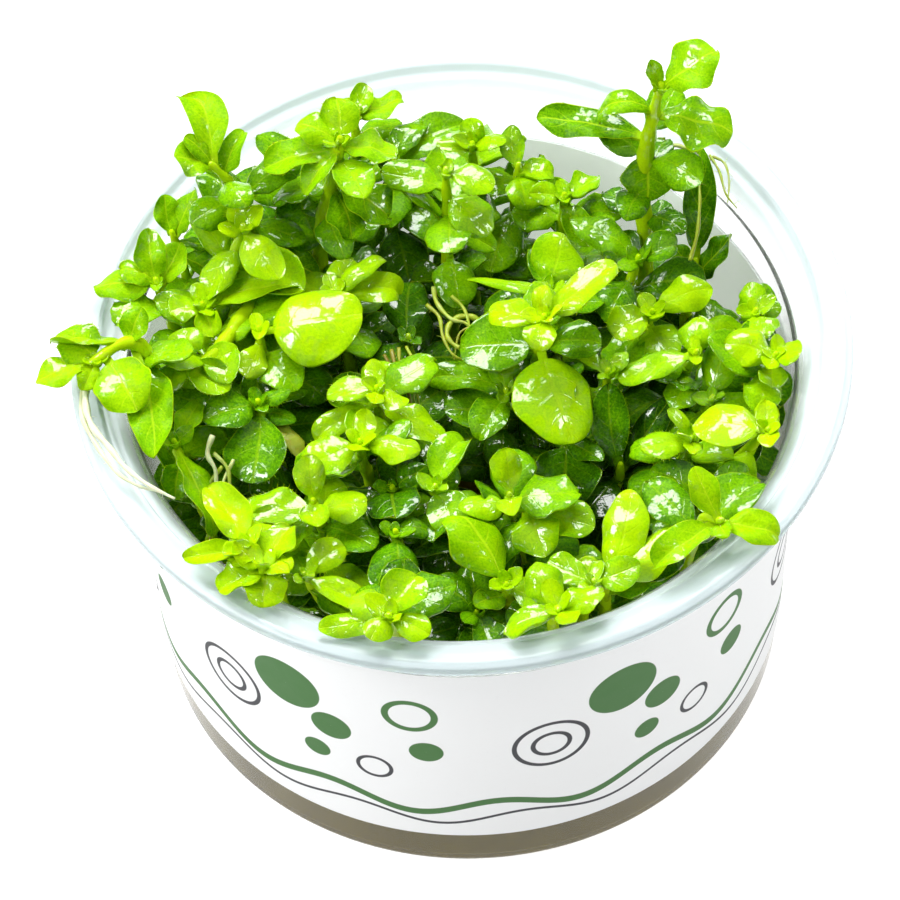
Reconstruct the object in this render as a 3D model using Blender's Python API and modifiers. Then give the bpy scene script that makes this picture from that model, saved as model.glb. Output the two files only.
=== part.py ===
"""A clear tissue culture cup with a wrap-around label, a layer of gel and leafy shoots of a water plant.

Sizes are in millimetres and turn into metres where a mesh is made. +Z is up, and the origin is the
centre of the cup's flat underside. The cup is seen from -Y, so +Y is its back.
"""
import math
from collections import namedtuple

import bmesh
import bpy
from mathutils import Matrix, Vector
from mathutils.bvhtree import BVHTree

MM = 0.001

# Cup
RIM_RADIUS = 52.5
CUP_HEIGHT = 62.0
BASE_RADIUS = 43.1
NECK_RADIUS = 45.6
NECK_HEIGHT = 57.0
SEAT_RADIUS = 46.9
FLANGE_RADIUS = 48.4
WALL = 0.9
FLOOR_CORNER = 1.0
SEAT_DROP = 1.9
SEAT_RISE = 0.2
LIP_DROP = 1.8
EDGE = 0.5
ROUND_SEGMENTS = 40

# Label and gel
GAP = 0.3
LABEL_BOTTOM = 8.0
LABEL_TOP = 49.8
LABEL_THICKNESS = 0.4
GEL_HEIGHT = 12.0

# Plant
STEM_RADIUS = 0.9
KNEE_LEAN = 0.3
KNEE_RISE = 0.55
SHOULDER_PART = 0.36
TIP_PART = 0.75
TIP_TAPER = 0.92
TOP_LEAF_DROP = 0.9
LEAF_THICKNESS = 1.1
LEAF_CLEARANCE = 0.45
RIM_CLEARANCE = 0.3
USUAL_CURL = 25.0

Shoot = namedtuple("Shoot", "name tone path leaves")

# A stem's path is its root on the gel (x, y), any points on the way (x, y, z), and its tip.
# A leaf is: drop down the stem from the tip, heading (0 is +X, 90 is +Y), rise, length, width,
# and, where they aren't the usual ones, roll and curl. Tone runs from 0, dark, to 1, lime.
SHOOTS = [
    Shoot("shoot_back_right_tall", 0.7, [(22, 17), (25.3, 17.5, 48), (26, 24, 71), (28.3, 27, 82)], [
        (0, 20, 42, 9.4, 8), (0, 130, 78, 4.6, 2.2), (4.4, 348, 2, 11, 9.4),
        (4.4, 175, 75, 12, 3.5, 0, 185), (10.5, 270, -45, 7.5, 7), (8.5, 166, 16, 15.5, 5),
        (33, 330, 20, 7, 5), (33, 200, 10, 7, 5)]),
    Shoot("shoot_back_right_twisted", 0.35, [(29, 10), (32.6, 18.5, 54)], [
        (0, 72, 66, 17, 4.6, 30), (3, 20, 40, 10, 5), (1, 140, 40, 5, 3)]),
    Shoot("shoot_right_back_wall", 0.75, [(33, 4), (40, 5, 60)], [
        (0, 100, 20, 4.5, 4), (0, 280, 25, 5.5, 5), (1, 15, 25, 4, 3.5), (3, 195, 10, 7, 5)]),
    Shoot("shoot_right_wall", 0.9, [(34, -3), (42, -4, 62)], [
        (0, 165, 20, 6.8, 6.5), (0, 350, 20, 4.5, 5), (3, 255, 0, 7, 6), (2, 300, 25, 5, 4.5)]),
    Shoot("shoot_right_front_wall", 0.8, [(31, -14), (38.4, -18.4, 52)], [
        (0, 334, 86, 12, 7.2), (0, 175, 15, 6, 4), (5, 230, 10, 7, 5)]),
    Shoot("shoot_right_overhanging", 0.85, [(27, -24), (29.5, -30, 58), (33, -33.5, 66)], [
        (0, 120, 52, 8, 4.5), (0, 350, 0, 8.3, 6.5), (1, 217, -8, 12, 5), (1, 290, 35, 4, 3)]),
    Shoot("shoot_right_bright", 1.0, [(30, -9), (40.2, -17, 63)], [
        (0, 170, 10, 10, 7.5), (1, 355, 25, 4.5, 3.5), (6, 70, 15, 7, 5), (6, 255, 5, 8, 6)]),
    Shoot("shoot_right_broad", 0.6, [(28, -1), (33.4, -7, 57)], [
        (0, 82, 30, 10, 6), (0, 330, 10, 6.5, 5), (4, 235, 5, 9, 6)]),
    Shoot("shoot_right_boat", 0.8, [(24, 2), (31.5, -3, 62)], [
        (0, 192, -2, 11, 4.5), (1, 80, 20, 6, 6), (5, 280, 10, 8, 6)]),
    Shoot("shoot_right_crinkled", 0.85, [(20, 9), (26, 5.5, 60)], [
        (0, 20, 20, 9, 6), (0, 215, 20, 7, 5.5), (3, 120, 10, 7, 5.5), (2.5, 300, 5, 6.8, 5.5)]),
    Shoot("shoot_dark_upright", 0.2, [(19, -8), (20.7, -12.5, 50)], [
        (0, 100, 55, 12, 5.2), (2, 42, 50, 13, 4.2), (1, 100, 15, 5, 4), (4, 345, 30, 8, 5)]),
    Shoot("shoot_right_round", 0.85, [(26, -9), (30, -16.5, 61)], [
        (0, 193, 14, 7, 5), (0, 140, 60, 5.5, 2.5), (0, 20, 50, 5, 2.5), (5, 320, 5, 9, 6)]),
    Shoot("shoot_right_low", 0.45, [(27, -16), (32, -23.5, 57)], [
        (0, 148, 18, 9, 5), (0, 20, 20, 7, 5), (4, 240, 0, 9, 6)]),
    Shoot("shoot_lime_folded", 0.95, [(17, -27), (17.9, -36, 57)], [
        (0, 72, 32, 13, 6.5), (0, 28, 12, 12, 6), (3, 250, 10, 7, 5.5)]),
    Shoot("shoot_front_right_small", 0.75, [(13, -31), (16, -38, 60)], [
        (0, 150, 15, 6.8, 4.3), (0, 2, 5, 7, 5), (1, 240, 0, 4.5, 4.5), (5, 100, 20, 7, 5)]),
    Shoot("shoot_front_veined", 0.75, [(7, -20), (7.6, -25.5, 60)], [
        (0, 290, 0, 7.5, 7.5), (0, 342, 5, 9.5, 6.5), (4, 120, 15, 8, 6)]),
    Shoot("shoot_middle_upright", 0.9, [(6, -15), (5.4, -26.4, 64)], [
        (0, 95, 62, 6.5, 4.6), (0, 275, 15, 3.5, 3.2), (5, 195, 20, 7, 5), (5, 15, 20, 7, 6)]),
    Shoot("shoot_front_curled", 0.75, [(5, -28), (4.5, -36.3, 57.5)], [
        (0, 124, 26, 12.5, 9.8, 10, 5), (1, 355, 0, 7, 6), (4, 230, -5, 8, 6)]),
    Shoot("shoot_front_mixed", 0.65, [(-3, -18), (-4.3, -21, 59)], [
        (0, 62, 22, 9.5, 4.6), (0, 275, 2, 7, 5.8), (2, 325, 8, 8, 6), (3, 170, 10, 6, 5)]),
    Shoot("shoot_front_dark_round", 0.35, [(-8, -24), (-9.8, -28, 59)], [
        (0, 265, 0, 10, 8), (0, 20, 15, 5, 4), (4, 190, 10, 8, 6)]),
    Shoot("shoot_middle_hairy", 0.15, [(-8, -16), (-10, -19.5, 57)], [
        (0, 275, 6, 7.8, 8.4), (0, 30, 25, 5.5, 4.5), (4, 170, 10, 8, 6)]),
    Shoot("shoot_front_left_rosette", 0.85, [(-17, -19), (-20.4, -26, 64)], [
        (0, 95, 60, 6.5, 4.6), (0, 275, 15, 4, 4), (2.5, 10, 5, 6.8, 6), (2.5, 176, 18, 9.8, 6.5),
        (6, 80, 15, 8, 6), (5, 215, 5, 8.5, 6.5)]),
    Shoot("shoot_middle_bright_round", 0.9, [(-12, -11), (-14, -16, 63)], [
        (0, 350, 6, 8, 7), (0, 200, 0, 8.5, 6.5), (2, 75, 10, 6.5, 6.5)]),
    Shoot("shoot_middle_lime_pair", 0.9, [(-10, -3), (-11.5, -7.4, 63)], [
        (0, 178, 5, 7, 4.2), (0, 330, 0, 4.5, 4.5), (3, 325, -4, 10, 6), (3, 205, 0, 10.5, 4.5),
        (4, 95, 15, 6.5, 5.5)]),
    Shoot("shoot_middle_dark_pair", 0.15, [(-6, 6), (-7.1, 5.4, 57)], [
        (0, 230, -5, 7, 6), (0, 88, 8, 9.5, 7), (4, 170, 10, 8, 6), (4, 350, 10, 9, 6)]),
    Shoot("shoot_middle_arched", 0.85, [(-14, 8), (-17, 9, 63)], [
        (0, 8, 5, 9.5, 5.5), (0, 62, 15, 6, 4), (3, 130, 10, 7, 6), (0, 30, 55, 10, 3, 0, 80)]),
    Shoot("shoot_left_big_round", 0.95, [(-26.5, -1), (-27, 2.7, 64)], [
        (0, 5, 4, 14, 12), (2, 250, 5, 6, 4.5), (5, 160, 10, 7, 5)]),
    Shoot("shoot_middle_dark_glossy", 0.2, [(12, -7), (13.5, -9.5, 52.5)], [
        (0, 262, 2, 10.5, 9), (0, 330, 25, 7, 3.5), (4, 40, 20, 8, 6), (4, 190, 10, 8, 6)]),
    Shoot("shoot_middle_curved", 0.55, [(4, -2), (5.8, -4.6, 57.5)], [
        (0, 160, 12, 11.5, 5, 0, 40), (0, 92, 42, 7.5, 4.7), (1, 237, 5, 7.5, 5.3), (4, 20, 20, 8, 6)]),
    Shoot("shoot_bright_cross", 1.0, [(8.5, 2), (11.2, -1.2, 69)], [
        (7, 285, -5, 14.5, 11.6), (0, 88, 40, 4.6, 3), (0, 262, 5, 5, 4.8), (0.5, 157, 3, 8.2, 5.6),
        (0.5, 37, 20, 13, 5.5)]),
    Shoot("shoot_middle_right_thin", 0.7, [(17, 0), (19.5, -4, 60)], [
        (0, 132, 15, 9.5, 3.2), (0, 35, 40, 3.8, 2.8), (4, 60, 15, 9, 6), (4, 215, 5, 8, 6)]),
    Shoot("shoot_back_middle_light", 0.7, [(10, 10), (12, 9.5, 61)], [
        (0, 72, 35, 8, 7.5), (0, 172, 18, 11, 2.6), (4, 300, 0, 8, 6)]),
    Shoot("shoot_back_right_long", 0.45, [(19, 13), (24.5, 13, 62.4)], [
        (0, 138, 8, 11.5, 5), (0, 15, 25, 6, 4.5), (4, 240, 5, 8, 6)]),
    Shoot("shoot_back_right_small", 0.7, [(13, 22), (15, 24.5, 62)], [
        (0, 180, 25, 5, 4), (0, 35, 20, 6, 4.6), (1, 300, -15, 7, 4), (4, 105, 10, 7, 5)]),
    Shoot("shoot_back_upright", 0.7, [(7, 27), (9, 30, 62)], [
        (0, 100, 50, 6, 3.6), (0.5, 5, 0, 5.5, 4), (1, 280, -3, 5.5, 6), (2, 190, 5, 6, 4.5)]),
    Shoot("shoot_back_glossy", 0.8, [(2, 30), (2.8, 32.5, 64)], [
        (0, 90, 45, 4, 3.5), (0, 185, 20, 5, 3), (0, 350, 20, 5, 3.5), (3, 275, -25, 6, 5)]),
    Shoot("shoot_back_middle_glossy", 0.8, [(-1, 19), (-1.2, 20.5, 60), (-1, 22, 72)], [
        (0, 345, 0, 6.8, 6), (4, 320, -15, 8, 7), (10, 335, -5, 7.5, 3.5), (9, 178, 62, 9, 3.8)]),
    Shoot("shoot_back_fat", 0.55, [(-9, 28), (-8.1, 31.5, 62.5)], [
        (0, 32, 12, 12, 6), (1, 350, 0, 8, 6.5), (0, 50, 65, 8, 4, 0, 110)]),
    Shoot("shoot_back_left_high", 0.75, [(-12, 31), (-13.3, 36, 67.3)], [
        (0, 25, 5, 7.5, 4.8), (0, 60, 45, 5, 3.5), (3, 335, 0, 7, 4)]),
    Shoot("shoot_top_centre_tall", 0.75, [(-20, 11), (-19, 19.5, 52), (-15, 24.5, 76.5)], [
        (0, 92, 45, 6.3, 5.6), (0, 155, 25, 6.5, 4.5), (1, 355, 2, 8, 6.3), (1.5, 183, 0, 10.5, 6),
        (1, 226, -10, 8, 4), (6.5, 330, -8, 9.5, 7), (8, 290, -5, 8, 6)]),
    Shoot("shoot_back_left_round", 0.35, [(-20, 24), (-21.8, 29.5, 65)], [
        (0, 215, -2, 7, 7), (0, 130, 25, 7, 5), (2, 285, -8, 8, 7.5), (5, 320, 10, 7, 6)]),
    Shoot("shoot_upper_left_tall", 0.6,
          [(-24, 15), (-26.5, 19.5, 55), (-28.3, 20.8, 68), (-32.6, 21.5, 76)], [
              (0, 100, 55, 12.5, 5.6, 0, 70), (0, 185, 45, 6, 5.5), (0, 150, 60, 6, 3),
              (2.5, 60, 60, 7.5, 3.6, 0, 60), (20, 355, 10, 8.5, 4.5)]),
    Shoot("shoot_left_back_pair", 0.5, [(-33, 14), (-38.5, 19.5, 64)], [
        (0, 100, 55, 5.8, 3.6), (0.5, 55, 55, 7.5, 4), (1.5, 5, 0, 5.5, 2.5), (4, 330, 5, 6, 4)]),
    Shoot("shoot_left_lime_drooping", 0.9, [(-26, 11), (-31, 13, 54), (-28.5, 15.5, 70)], [
        (0, 305, -12, 8.5, 7), (0, 110, 40, 4, 3), (8.5, 128, 50, 12, 4.6), (12, 300, 8, 8, 4.5),
        (15, 215, 10, 8, 6)]),
    Shoot("shoot_left_low", 0.75, [(-31, 5), (-34.5, 7.5, 63.5)], [
        (0, 14, 15, 13.5, 5), (0, 195, 25, 5, 4), (0, 285, 10, 5, 4), (4, 100, 10, 5, 4)]),
    Shoot("shoot_left_round", 0.6, [(-34, 7), (-40.7, 10.8, 65)], [
        (0, 185, -12, 9, 7), (0, 165, 35, 5.5, 4), (0, 97, 50, 7.5, 4.2), (1, 62, 35, 7, 5)]),
    Shoot("shoot_far_left_overhanging", 0.75,
          [(-34, -3), (-41, -2, 59), (-44, -1.5, 67), (-49.5, -4.5, 67)], [
              (6.6, 279, -5, 16.5, 7.2, 0, 5), (0, 195, 5, 8.5, 5), (0.5, 140, 20, 6.5, 6.5),
              (5.5, 170, 18, 11, 5, 40), (5, 60, 55, 5.5, 4), (1.5, 297, 0, 9.5, 7.8, 0, 10),
              (0, 245, -5, 4.5, 3)]),
    Shoot("shoot_left_leaning", 0.8,
          [(-23, 12), (-27, 10.5, 52), (-28, 9, 60), (-34.5, -1.5, 62), (-38, -2, 63.5)], [
              (0, 80, 25, 5, 5), (0.5, 325, 0, 7, 6), (0, 240, 5, 5, 4), (3, 20, 20, 5, 4)]),
    Shoot("shoot_left_dark_round", 0.15, [(-21, 3), (-24.3, 4.5, 56)], [
        (0, 215, 5, 9.5, 9), (0, 45, 20, 7, 6), (4, 140, 10, 8, 6)]),
    Shoot("shoot_left_dark_big", 0.3, [(-24, -5), (-27.5, -6.5, 60)], [
        (0, 200, 15, 8, 6.5), (1, 262, -2, 11, 8.5), (0, 20, 20, 4.5, 3.4), (2, 340, 10, 5, 3.5)]),
    Shoot("shoot_left_wall_big", 0.55, [(-34, -11), (-38.8, -12.5, 60)], [
        (0, 290, -16, 14, 6.4, -30), (0, 60, 25, 7, 3.6), (4, 230, 0, 7, 4.5)]),
    Shoot("shoot_front_left_overhanging", 0.95,
          [(-26, -27), (-27.5, -31.5, 58), (-29.6, -34.5, 66.5)], [
              (0, 118, 25, 10, 5.6), (0, 182, 2, 8.5, 3.5), (1, 50, 18, 5.5, 5), (1, 262, 0, 4.5, 5)]),
    Shoot("shoot_front_left_second", 0.95,
          [(-22, -30), (-25.5, -34.5, 58), (-27, -37.6, 66)], [
              (0, 60, 20, 6.8, 5.5), (0, 350, 30, 4, 3.5), (1, 200, 5, 7, 6), (1, 262, 0, 5.5, 6)]),
    Shoot("shoot_front_left_pointed", 0.8, [(-16, -28), (-22, -34.6, 59.5)], [
        (0, 318, -2, 10.5, 5), (0, 40, 15, 7, 4.5), (4, 190, 5, 6, 5), (4, 0, 10, 8, 6)]),
    Shoot("shoot_front_rosette", 0.9, [(-9, -33), (-10.5, -41.5, 58), (-11, -46, 65.5)], [
        (0, 55, 22, 7, 6), (0, 235, 15, 4.5, 4.5), (1, 330, 10, 6, 4.5), (1, 150, 15, 6, 4.5),
        (2, 188, 0, 9.5, 4)]),
    Shoot("shoot_front_dark_low", 0.3, [(0, -31), (0.5, -38, 54)], [
        (0, 140, 20, 7.5, 6.5), (0, 10, 12, 8, 6), (0, 285, 10, 6, 4.5), (3, 95, 30, 8, 6)]),
    Shoot("shoot_front_lime_low", 0.85, [(9, -33), (10.5, -41, 57), (11, -45.5, 64.5)], [
        (0, 200, 8, 8, 5), (0, 20, 15, 6.5, 4.5), (5, 110, 20, 7, 6), (8, 70, 15, 6, 4)]),
]


def clear_scene():
    for thing in list(bpy.data.objects):
        bpy.data.objects.remove(thing, do_unlink=True)


def make_collection(name):
    group = bpy.data.collections.new(name)
    bpy.context.scene.collection.children.link(group)
    return group


def plain_material(name, colour, roughness, alpha=1.0, transmission=0.0):
    material = bpy.data.materials.new(name)
    material.use_nodes = True
    shader = material.node_tree.nodes["Principled BSDF"]
    shader.inputs["Base Color"].default_value = (*colour, 1.0)
    shader.inputs["Roughness"].default_value = roughness
    shader.inputs["Metallic"].default_value = 0.0
    shader.inputs["Alpha"].default_value = alpha
    shader.inputs["Transmission Weight"].default_value = transmission
    return material


def add_object(name, mesh, group, material):
    thing = bpy.data.objects.new(name, mesh)
    mesh.materials.append(material)
    group.objects.link(thing)
    return thing


def turned(name, profile, group, material, closed=False):
    """Turns a profile of (radius, height) points about Z. It runs down its outer side."""
    mesh = bpy.data.meshes.new(name)
    count = len(profile)
    edges = [(i, i + 1) for i in range(count - 1)]
    if closed:
        edges.append((count - 1, 0))
    mesh.from_pydata([(r * MM, 0.0, z * MM) for r, z in profile], edges, [])
    thing = add_object(name, mesh, group, material)
    screw = thing.modifiers.new("turn", "SCREW")
    screw.steps = ROUND_SEGMENTS
    screw.render_steps = ROUND_SEGMENTS
    screw.use_merge_vertices = True
    screw.merge_threshold = 0.00001
    screw.use_smooth_shade = True
    return thing


def inner_radius(z):
    """The inside radius of the tapering wall at a height."""
    grow = (NECK_RADIUS - BASE_RADIUS) / NECK_HEIGHT
    return BASE_RADIUS - WALL + grow * z


def outer_radius(z):
    return inner_radius(z) + WALL


def make_cup(group):
    inside_floor = [
        (0.0, WALL),
        (inner_radius(0) - FLOOR_CORNER, WALL),
        (inner_radius(FLOOR_CORNER) - 0.3, WALL + 0.3),
        (inner_radius(FLOOR_CORNER), FLOOR_CORNER + EDGE),
    ]
    inside_mouth = [
        (inner_radius(NECK_HEIGHT), NECK_HEIGHT),
        (SEAT_RADIUS, CUP_HEIGHT - SEAT_DROP),
        (FLANGE_RADIUS - EDGE, CUP_HEIGHT - SEAT_DROP + SEAT_RISE),
        (FLANGE_RADIUS, CUP_HEIGHT - EDGE),
    ]
    lip = [
        (RIM_RADIUS - 2 * EDGE, CUP_HEIGHT),
        (RIM_RADIUS, CUP_HEIGHT - EDGE),
        (RIM_RADIUS, CUP_HEIGHT - LIP_DROP),
        (RIM_RADIUS - WALL, CUP_HEIGHT - LIP_DROP),
        (RIM_RADIUS - WALL - EDGE, CUP_HEIGHT - WALL),
    ]
    outside = [
        (FLANGE_RADIUS + WALL, CUP_HEIGHT - EDGE - WALL),
        (FLANGE_RADIUS + EDGE, CUP_HEIGHT - SEAT_DROP + SEAT_RISE - WALL),
        (SEAT_RADIUS + SEAT_RISE, CUP_HEIGHT - SEAT_DROP - WALL),
        (outer_radius(NECK_HEIGHT), NECK_HEIGHT - EDGE),
        (outer_radius(FLOOR_CORNER), FLOOR_CORNER),
        (outer_radius(0) - 0.3, 0.2),
        (outer_radius(0) - FLOOR_CORNER, 0.0),
        (0.0, 0.0),
    ]
    clear = plain_material("clear_plastic", (0.93, 0.97, 0.97), 0.06, 0.35, 1.0)
    return turned("cup", inside_floor + inside_mouth + lip + outside, group, clear)


def make_label(group):
    def inner(z):
        return outer_radius(z) + GAP

    profile = [
        (inner(LABEL_TOP), LABEL_TOP),
        (inner(LABEL_TOP) + LABEL_THICKNESS, LABEL_TOP),
        (inner(LABEL_BOTTOM) + LABEL_THICKNESS, LABEL_BOTTOM),
        (inner(LABEL_BOTTOM), LABEL_BOTTOM),
    ]
    white = plain_material("white_label", (0.86, 0.87, 0.86), 0.45)
    return turned("label", profile, group, white, closed=True)


def make_gel(group):
    floor = WALL + GAP
    profile = [
        (0.0, GEL_HEIGHT),
        (inner_radius(GEL_HEIGHT) - GAP, GEL_HEIGHT),
        (inner_radius(FLOOR_CORNER) - GAP, FLOOR_CORNER + EDGE),
        (inner_radius(0) - FLOOR_CORNER - GAP, floor),
        (0.0, floor),
    ]
    olive = plain_material("culture_gel", (0.30, 0.27, 0.13), 0.2, 0.8, 0.4)
    return turned("gel", profile, group, olive)


def stem_points(shoot):
    """The stem's path: from its root, up through its points on the way, to its tip."""
    root = Vector((*shoot.path[0], GEL_HEIGHT + GAP))
    tip = Vector(shoot.path[-1])
    middle = [Vector(point) for point in shoot.path[1:-1]]
    if not middle:
        knee = root.lerp(tip, KNEE_LEAN)
        knee.z = root.z + KNEE_RISE * (tip.z - root.z)
        middle = [knee]
    return [root, *middle, tip]


def point_below_tip(points, drop):
    """The point on the stem's middle line where a leaf grows, drop millimetres below the top leaves."""
    drop += TOP_LEAF_DROP
    for upper, lower in zip(points[::-1], points[-2::-1]):
        span = (lower - upper).length
        if drop <= span:
            return upper.lerp(lower, drop / span)
        drop -= span
    return points[0]


def leaf_axes(heading, rise, roll):
    """Unit vectors along a leaf, across it and out of its upper face."""
    turn = math.radians(heading)
    lift = math.radians(rise)
    along = Vector((math.cos(turn) * math.cos(lift), math.sin(turn) * math.cos(lift), math.sin(lift)))
    across = Vector((-math.sin(turn), math.cos(turn), 0.0))
    across = Matrix.Rotation(math.radians(roll), 3, along) @ across
    return along, across, along.cross(across)


def leaf_pad(base, leaf, extra=0.0):
    """A low solid of a leaf as (points, faces): six points round its edge and one above its middle.

    The blade bends away from its upper face by the leaf's curl. extra grows it on every side.
    """
    drop, heading, rise, length, width, *more = leaf
    roll = more[0] if more else 0.0
    curl = math.radians(more[1] if len(more) > 1 else USUAL_CURL)
    along, across, out = leaf_axes(heading, rise, roll)

    def place(part, side, lift=-extra):
        bend = curl * part
        chord = math.sin(0.5 * bend) / (0.5 * bend) if bend else 1.0
        spine = along * math.cos(0.5 * bend) - out * math.sin(0.5 * bend)
        normal = out * math.cos(bend) + along * math.sin(bend)
        return base + spine * (part * length * chord) + across * side + normal * lift

    half = 0.5 * width + extra
    points = [
        place(-extra / length, 0.0),
        place(SHOULDER_PART, -half),
        place(TIP_PART, -TIP_TAPER * half),
        place(1.0 + extra / length, 0.0),
        place(TIP_PART, TIP_TAPER * half),
        place(SHOULDER_PART, half),
        place(0.5, 0.0, LEAF_THICKNESS + extra),
    ]
    above = [(i, (i + 1) % 6, 6) for i in range(6)]
    below = [(0, 1, 5), (1, 2, 4), (1, 4, 5), (2, 3, 4)]
    return points, above + below


def stem_cage(points, radius):
    """A square tube round a stem as (points, faces), for testing what a leaf would hit."""
    cage = []
    faces = []
    for lower, upper in zip(points, points[1:]):
        start = len(cage)
        for centre in (lower, upper):
            for x, y in ((1, 1), (-1, 1), (-1, -1), (1, -1)):
                cage.append(centre + Vector((x * radius, y * radius, 0.0)))
        for i in range(4):
            j = (i + 1) % 4
            faces.append((start + i, start + j, start + 4 + j, start + 4 + i))
    return cage, faces


def clears_cup(point):
    """Whether a point is inside the wall, or well above the rim."""
    reach = math.hypot(point.x, point.y)
    if point.z > CUP_HEIGHT + RIM_CLEARANCE:
        return True
    room = inner_radius(min(point.z, NECK_HEIGHT)) - RIM_CLEARANCE
    return reach < room and point.z > GEL_HEIGHT + GAP


def leaf_tries(leaf):
    """The leaf as wanted, then raised, lowered, turned or shortened, for where it would hit another."""
    drop, heading, rise, length, width, *more = leaf
    changes = [
        (0, 0, 1.0), (12, 0, 1.0), (-12, 0, 1.0), (0, 14, 1.0), (0, -14, 1.0), (24, 0, 0.95),
        (-24, 0, 0.95), (14, 16, 0.95), (14, -16, 0.95), (-14, 16, 0.95), (-14, -16, 0.95),
        (36, 0, 0.9), (0, 30, 0.85), (0, -30, 0.85), (24, 28, 0.8), (24, -28, 0.8), (-24, 28, 0.8),
        (-24, -28, 0.8), (0, 0, 0.75), (40, 20, 0.7), (40, -20, 0.7), (10, 45, 0.7), (10, -45, 0.7),
    ]
    for lift, turn, size in changes:
        yield (drop, heading + turn, rise + lift, length * size, width * size, *more)


def settled_leaves():
    """Every shoot's leaves, each changed as little as it needs to clear the cup and other shoots."""
    stems = [stem_points(shoot) for shoot in SHOOTS]
    obstacles = []
    for owner, points in enumerate(stems):
        obstacles.append((owner, BVHTree.FromPolygons(*stem_cage(points, STEM_RADIUS))))
    settled = [[] for _ in SHOOTS]
    most = max(len(shoot.leaves) for shoot in SHOOTS)
    for turn in range(most):
        for owner, shoot in enumerate(SHOOTS):
            if turn >= len(shoot.leaves):
                continue
            for leaf in leaf_tries(shoot.leaves[turn]):
                base = point_below_tip(stems[owner], leaf[0])
                wide, faces = leaf_pad(base, leaf, LEAF_CLEARANCE)
                if not all(clears_cup(point) for point in wide):
                    continue
                tree = BVHTree.FromPolygons(wide, faces)
                if any(other != owner and tree.overlap(solid) for other, solid in obstacles):
                    continue
                obstacles.append((owner, BVHTree.FromPolygons(*leaf_pad(base, leaf))))
                settled[owner].append((base, leaf))
                break
    return stems, settled


def mesh_from(name, points, faces):
    mesh = bpy.data.meshes.new(name)
    mesh.from_pydata([point * MM for point in points], [], faces)
    shape = bmesh.new()
    shape.from_mesh(mesh)
    bmesh.ops.recalc_face_normals(shape, faces=shape.faces)
    shape.to_mesh(mesh)
    shape.free()
    return mesh


def evaluated_mesh(thing):
    graph = bpy.context.evaluated_depsgraph_get()
    return bpy.data.meshes.new_from_object(thing.evaluated_get(graph))


def stem_mesh(name, points, group):
    """A stem as a tube along its path, with its caps welded on."""
    curve = bpy.data.curves.new(name, "CURVE")
    curve.dimensions = "3D"
    curve.bevel_depth = STEM_RADIUS * MM
    curve.bevel_resolution = 1
    curve.use_fill_caps = True
    spline = curve.splines.new("POLY")
    spline.points.add(len(points) - 1)
    for spot, point in zip(spline.points, points):
        spot.co = (*(point * MM), 1.0)
    guide = bpy.data.objects.new(name, curve)
    group.objects.link(guide)
    mesh = evaluated_mesh(guide)
    bpy.data.objects.remove(guide, do_unlink=True)
    shape = bmesh.new()
    shape.from_mesh(mesh)
    bmesh.ops.remove_doubles(shape, verts=shape.verts, dist=0.00001)
    bmesh.ops.recalc_face_normals(shape, faces=shape.faces)
    shape.to_mesh(mesh)
    shape.free()
    return mesh


def make_shoot(shoot, points, leaves, group, material):
    """One shoot: its stem, with each leaf joined to it by a union."""
    stem = bpy.data.objects.new(shoot.name, stem_mesh(shoot.name, points, group))
    group.objects.link(stem)
    blades = []
    for base, leaf in leaves:
        blade = bpy.data.objects.new("blade", mesh_from("blade", *leaf_pad(base, leaf)))
        group.objects.link(blade)
        blades.append(blade)
        union = stem.modifiers.new("leaf", "BOOLEAN")
        union.operation = "UNION"
        union.object = blade
    joined = evaluated_mesh(stem)
    for thing in [stem, *blades]:
        bpy.data.objects.remove(thing, do_unlink=True)
    joined.name = shoot.name
    joined.materials.clear()
    return add_object(shoot.name, joined, group, material)


def green_for(tone):
    """One of four greens, from dark to lime."""
    steps = {0.35: "dark_leaf", 0.65: "middle_leaf", 0.82: "bright_leaf", 2.0: "lime_leaf"}
    colours = {
        "dark_leaf": (0.04, 0.16, 0.01),
        "middle_leaf": (0.12, 0.34, 0.01),
        "bright_leaf": (0.26, 0.55, 0.01),
        "lime_leaf": (0.42, 0.68, 0.01),
    }
    name = next(word for limit, word in steps.items() if tone < limit)
    return bpy.data.materials.get(name) or plain_material(name, colours[name], 0.3)


def main():
    clear_scene()
    parts = make_collection("tissue_culture_cup")
    make_cup(parts)
    make_label(parts)
    make_gel(parts)
    stems, settled = settled_leaves()
    for shoot, points, leaves in zip(SHOOTS, stems, settled):
        make_shoot(shoot, points, leaves, parts, green_for(shoot.tone))


main()
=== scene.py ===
"""The look of a clear tissue culture cup with a label, a layer of gel and leafy shoots of a water plant.

Lengths are in millimetres and angles in degrees, and they turn into metres where a mesh is made.
+Z is up, the origin is the centre of the cup's flat underside, and +Y is the cup's back.
"""
import math
import random
from collections import namedtuple

import bpy
import numpy as np
from mathutils import Matrix, Vector
from mathutils.bvhtree import BVHTree


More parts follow.
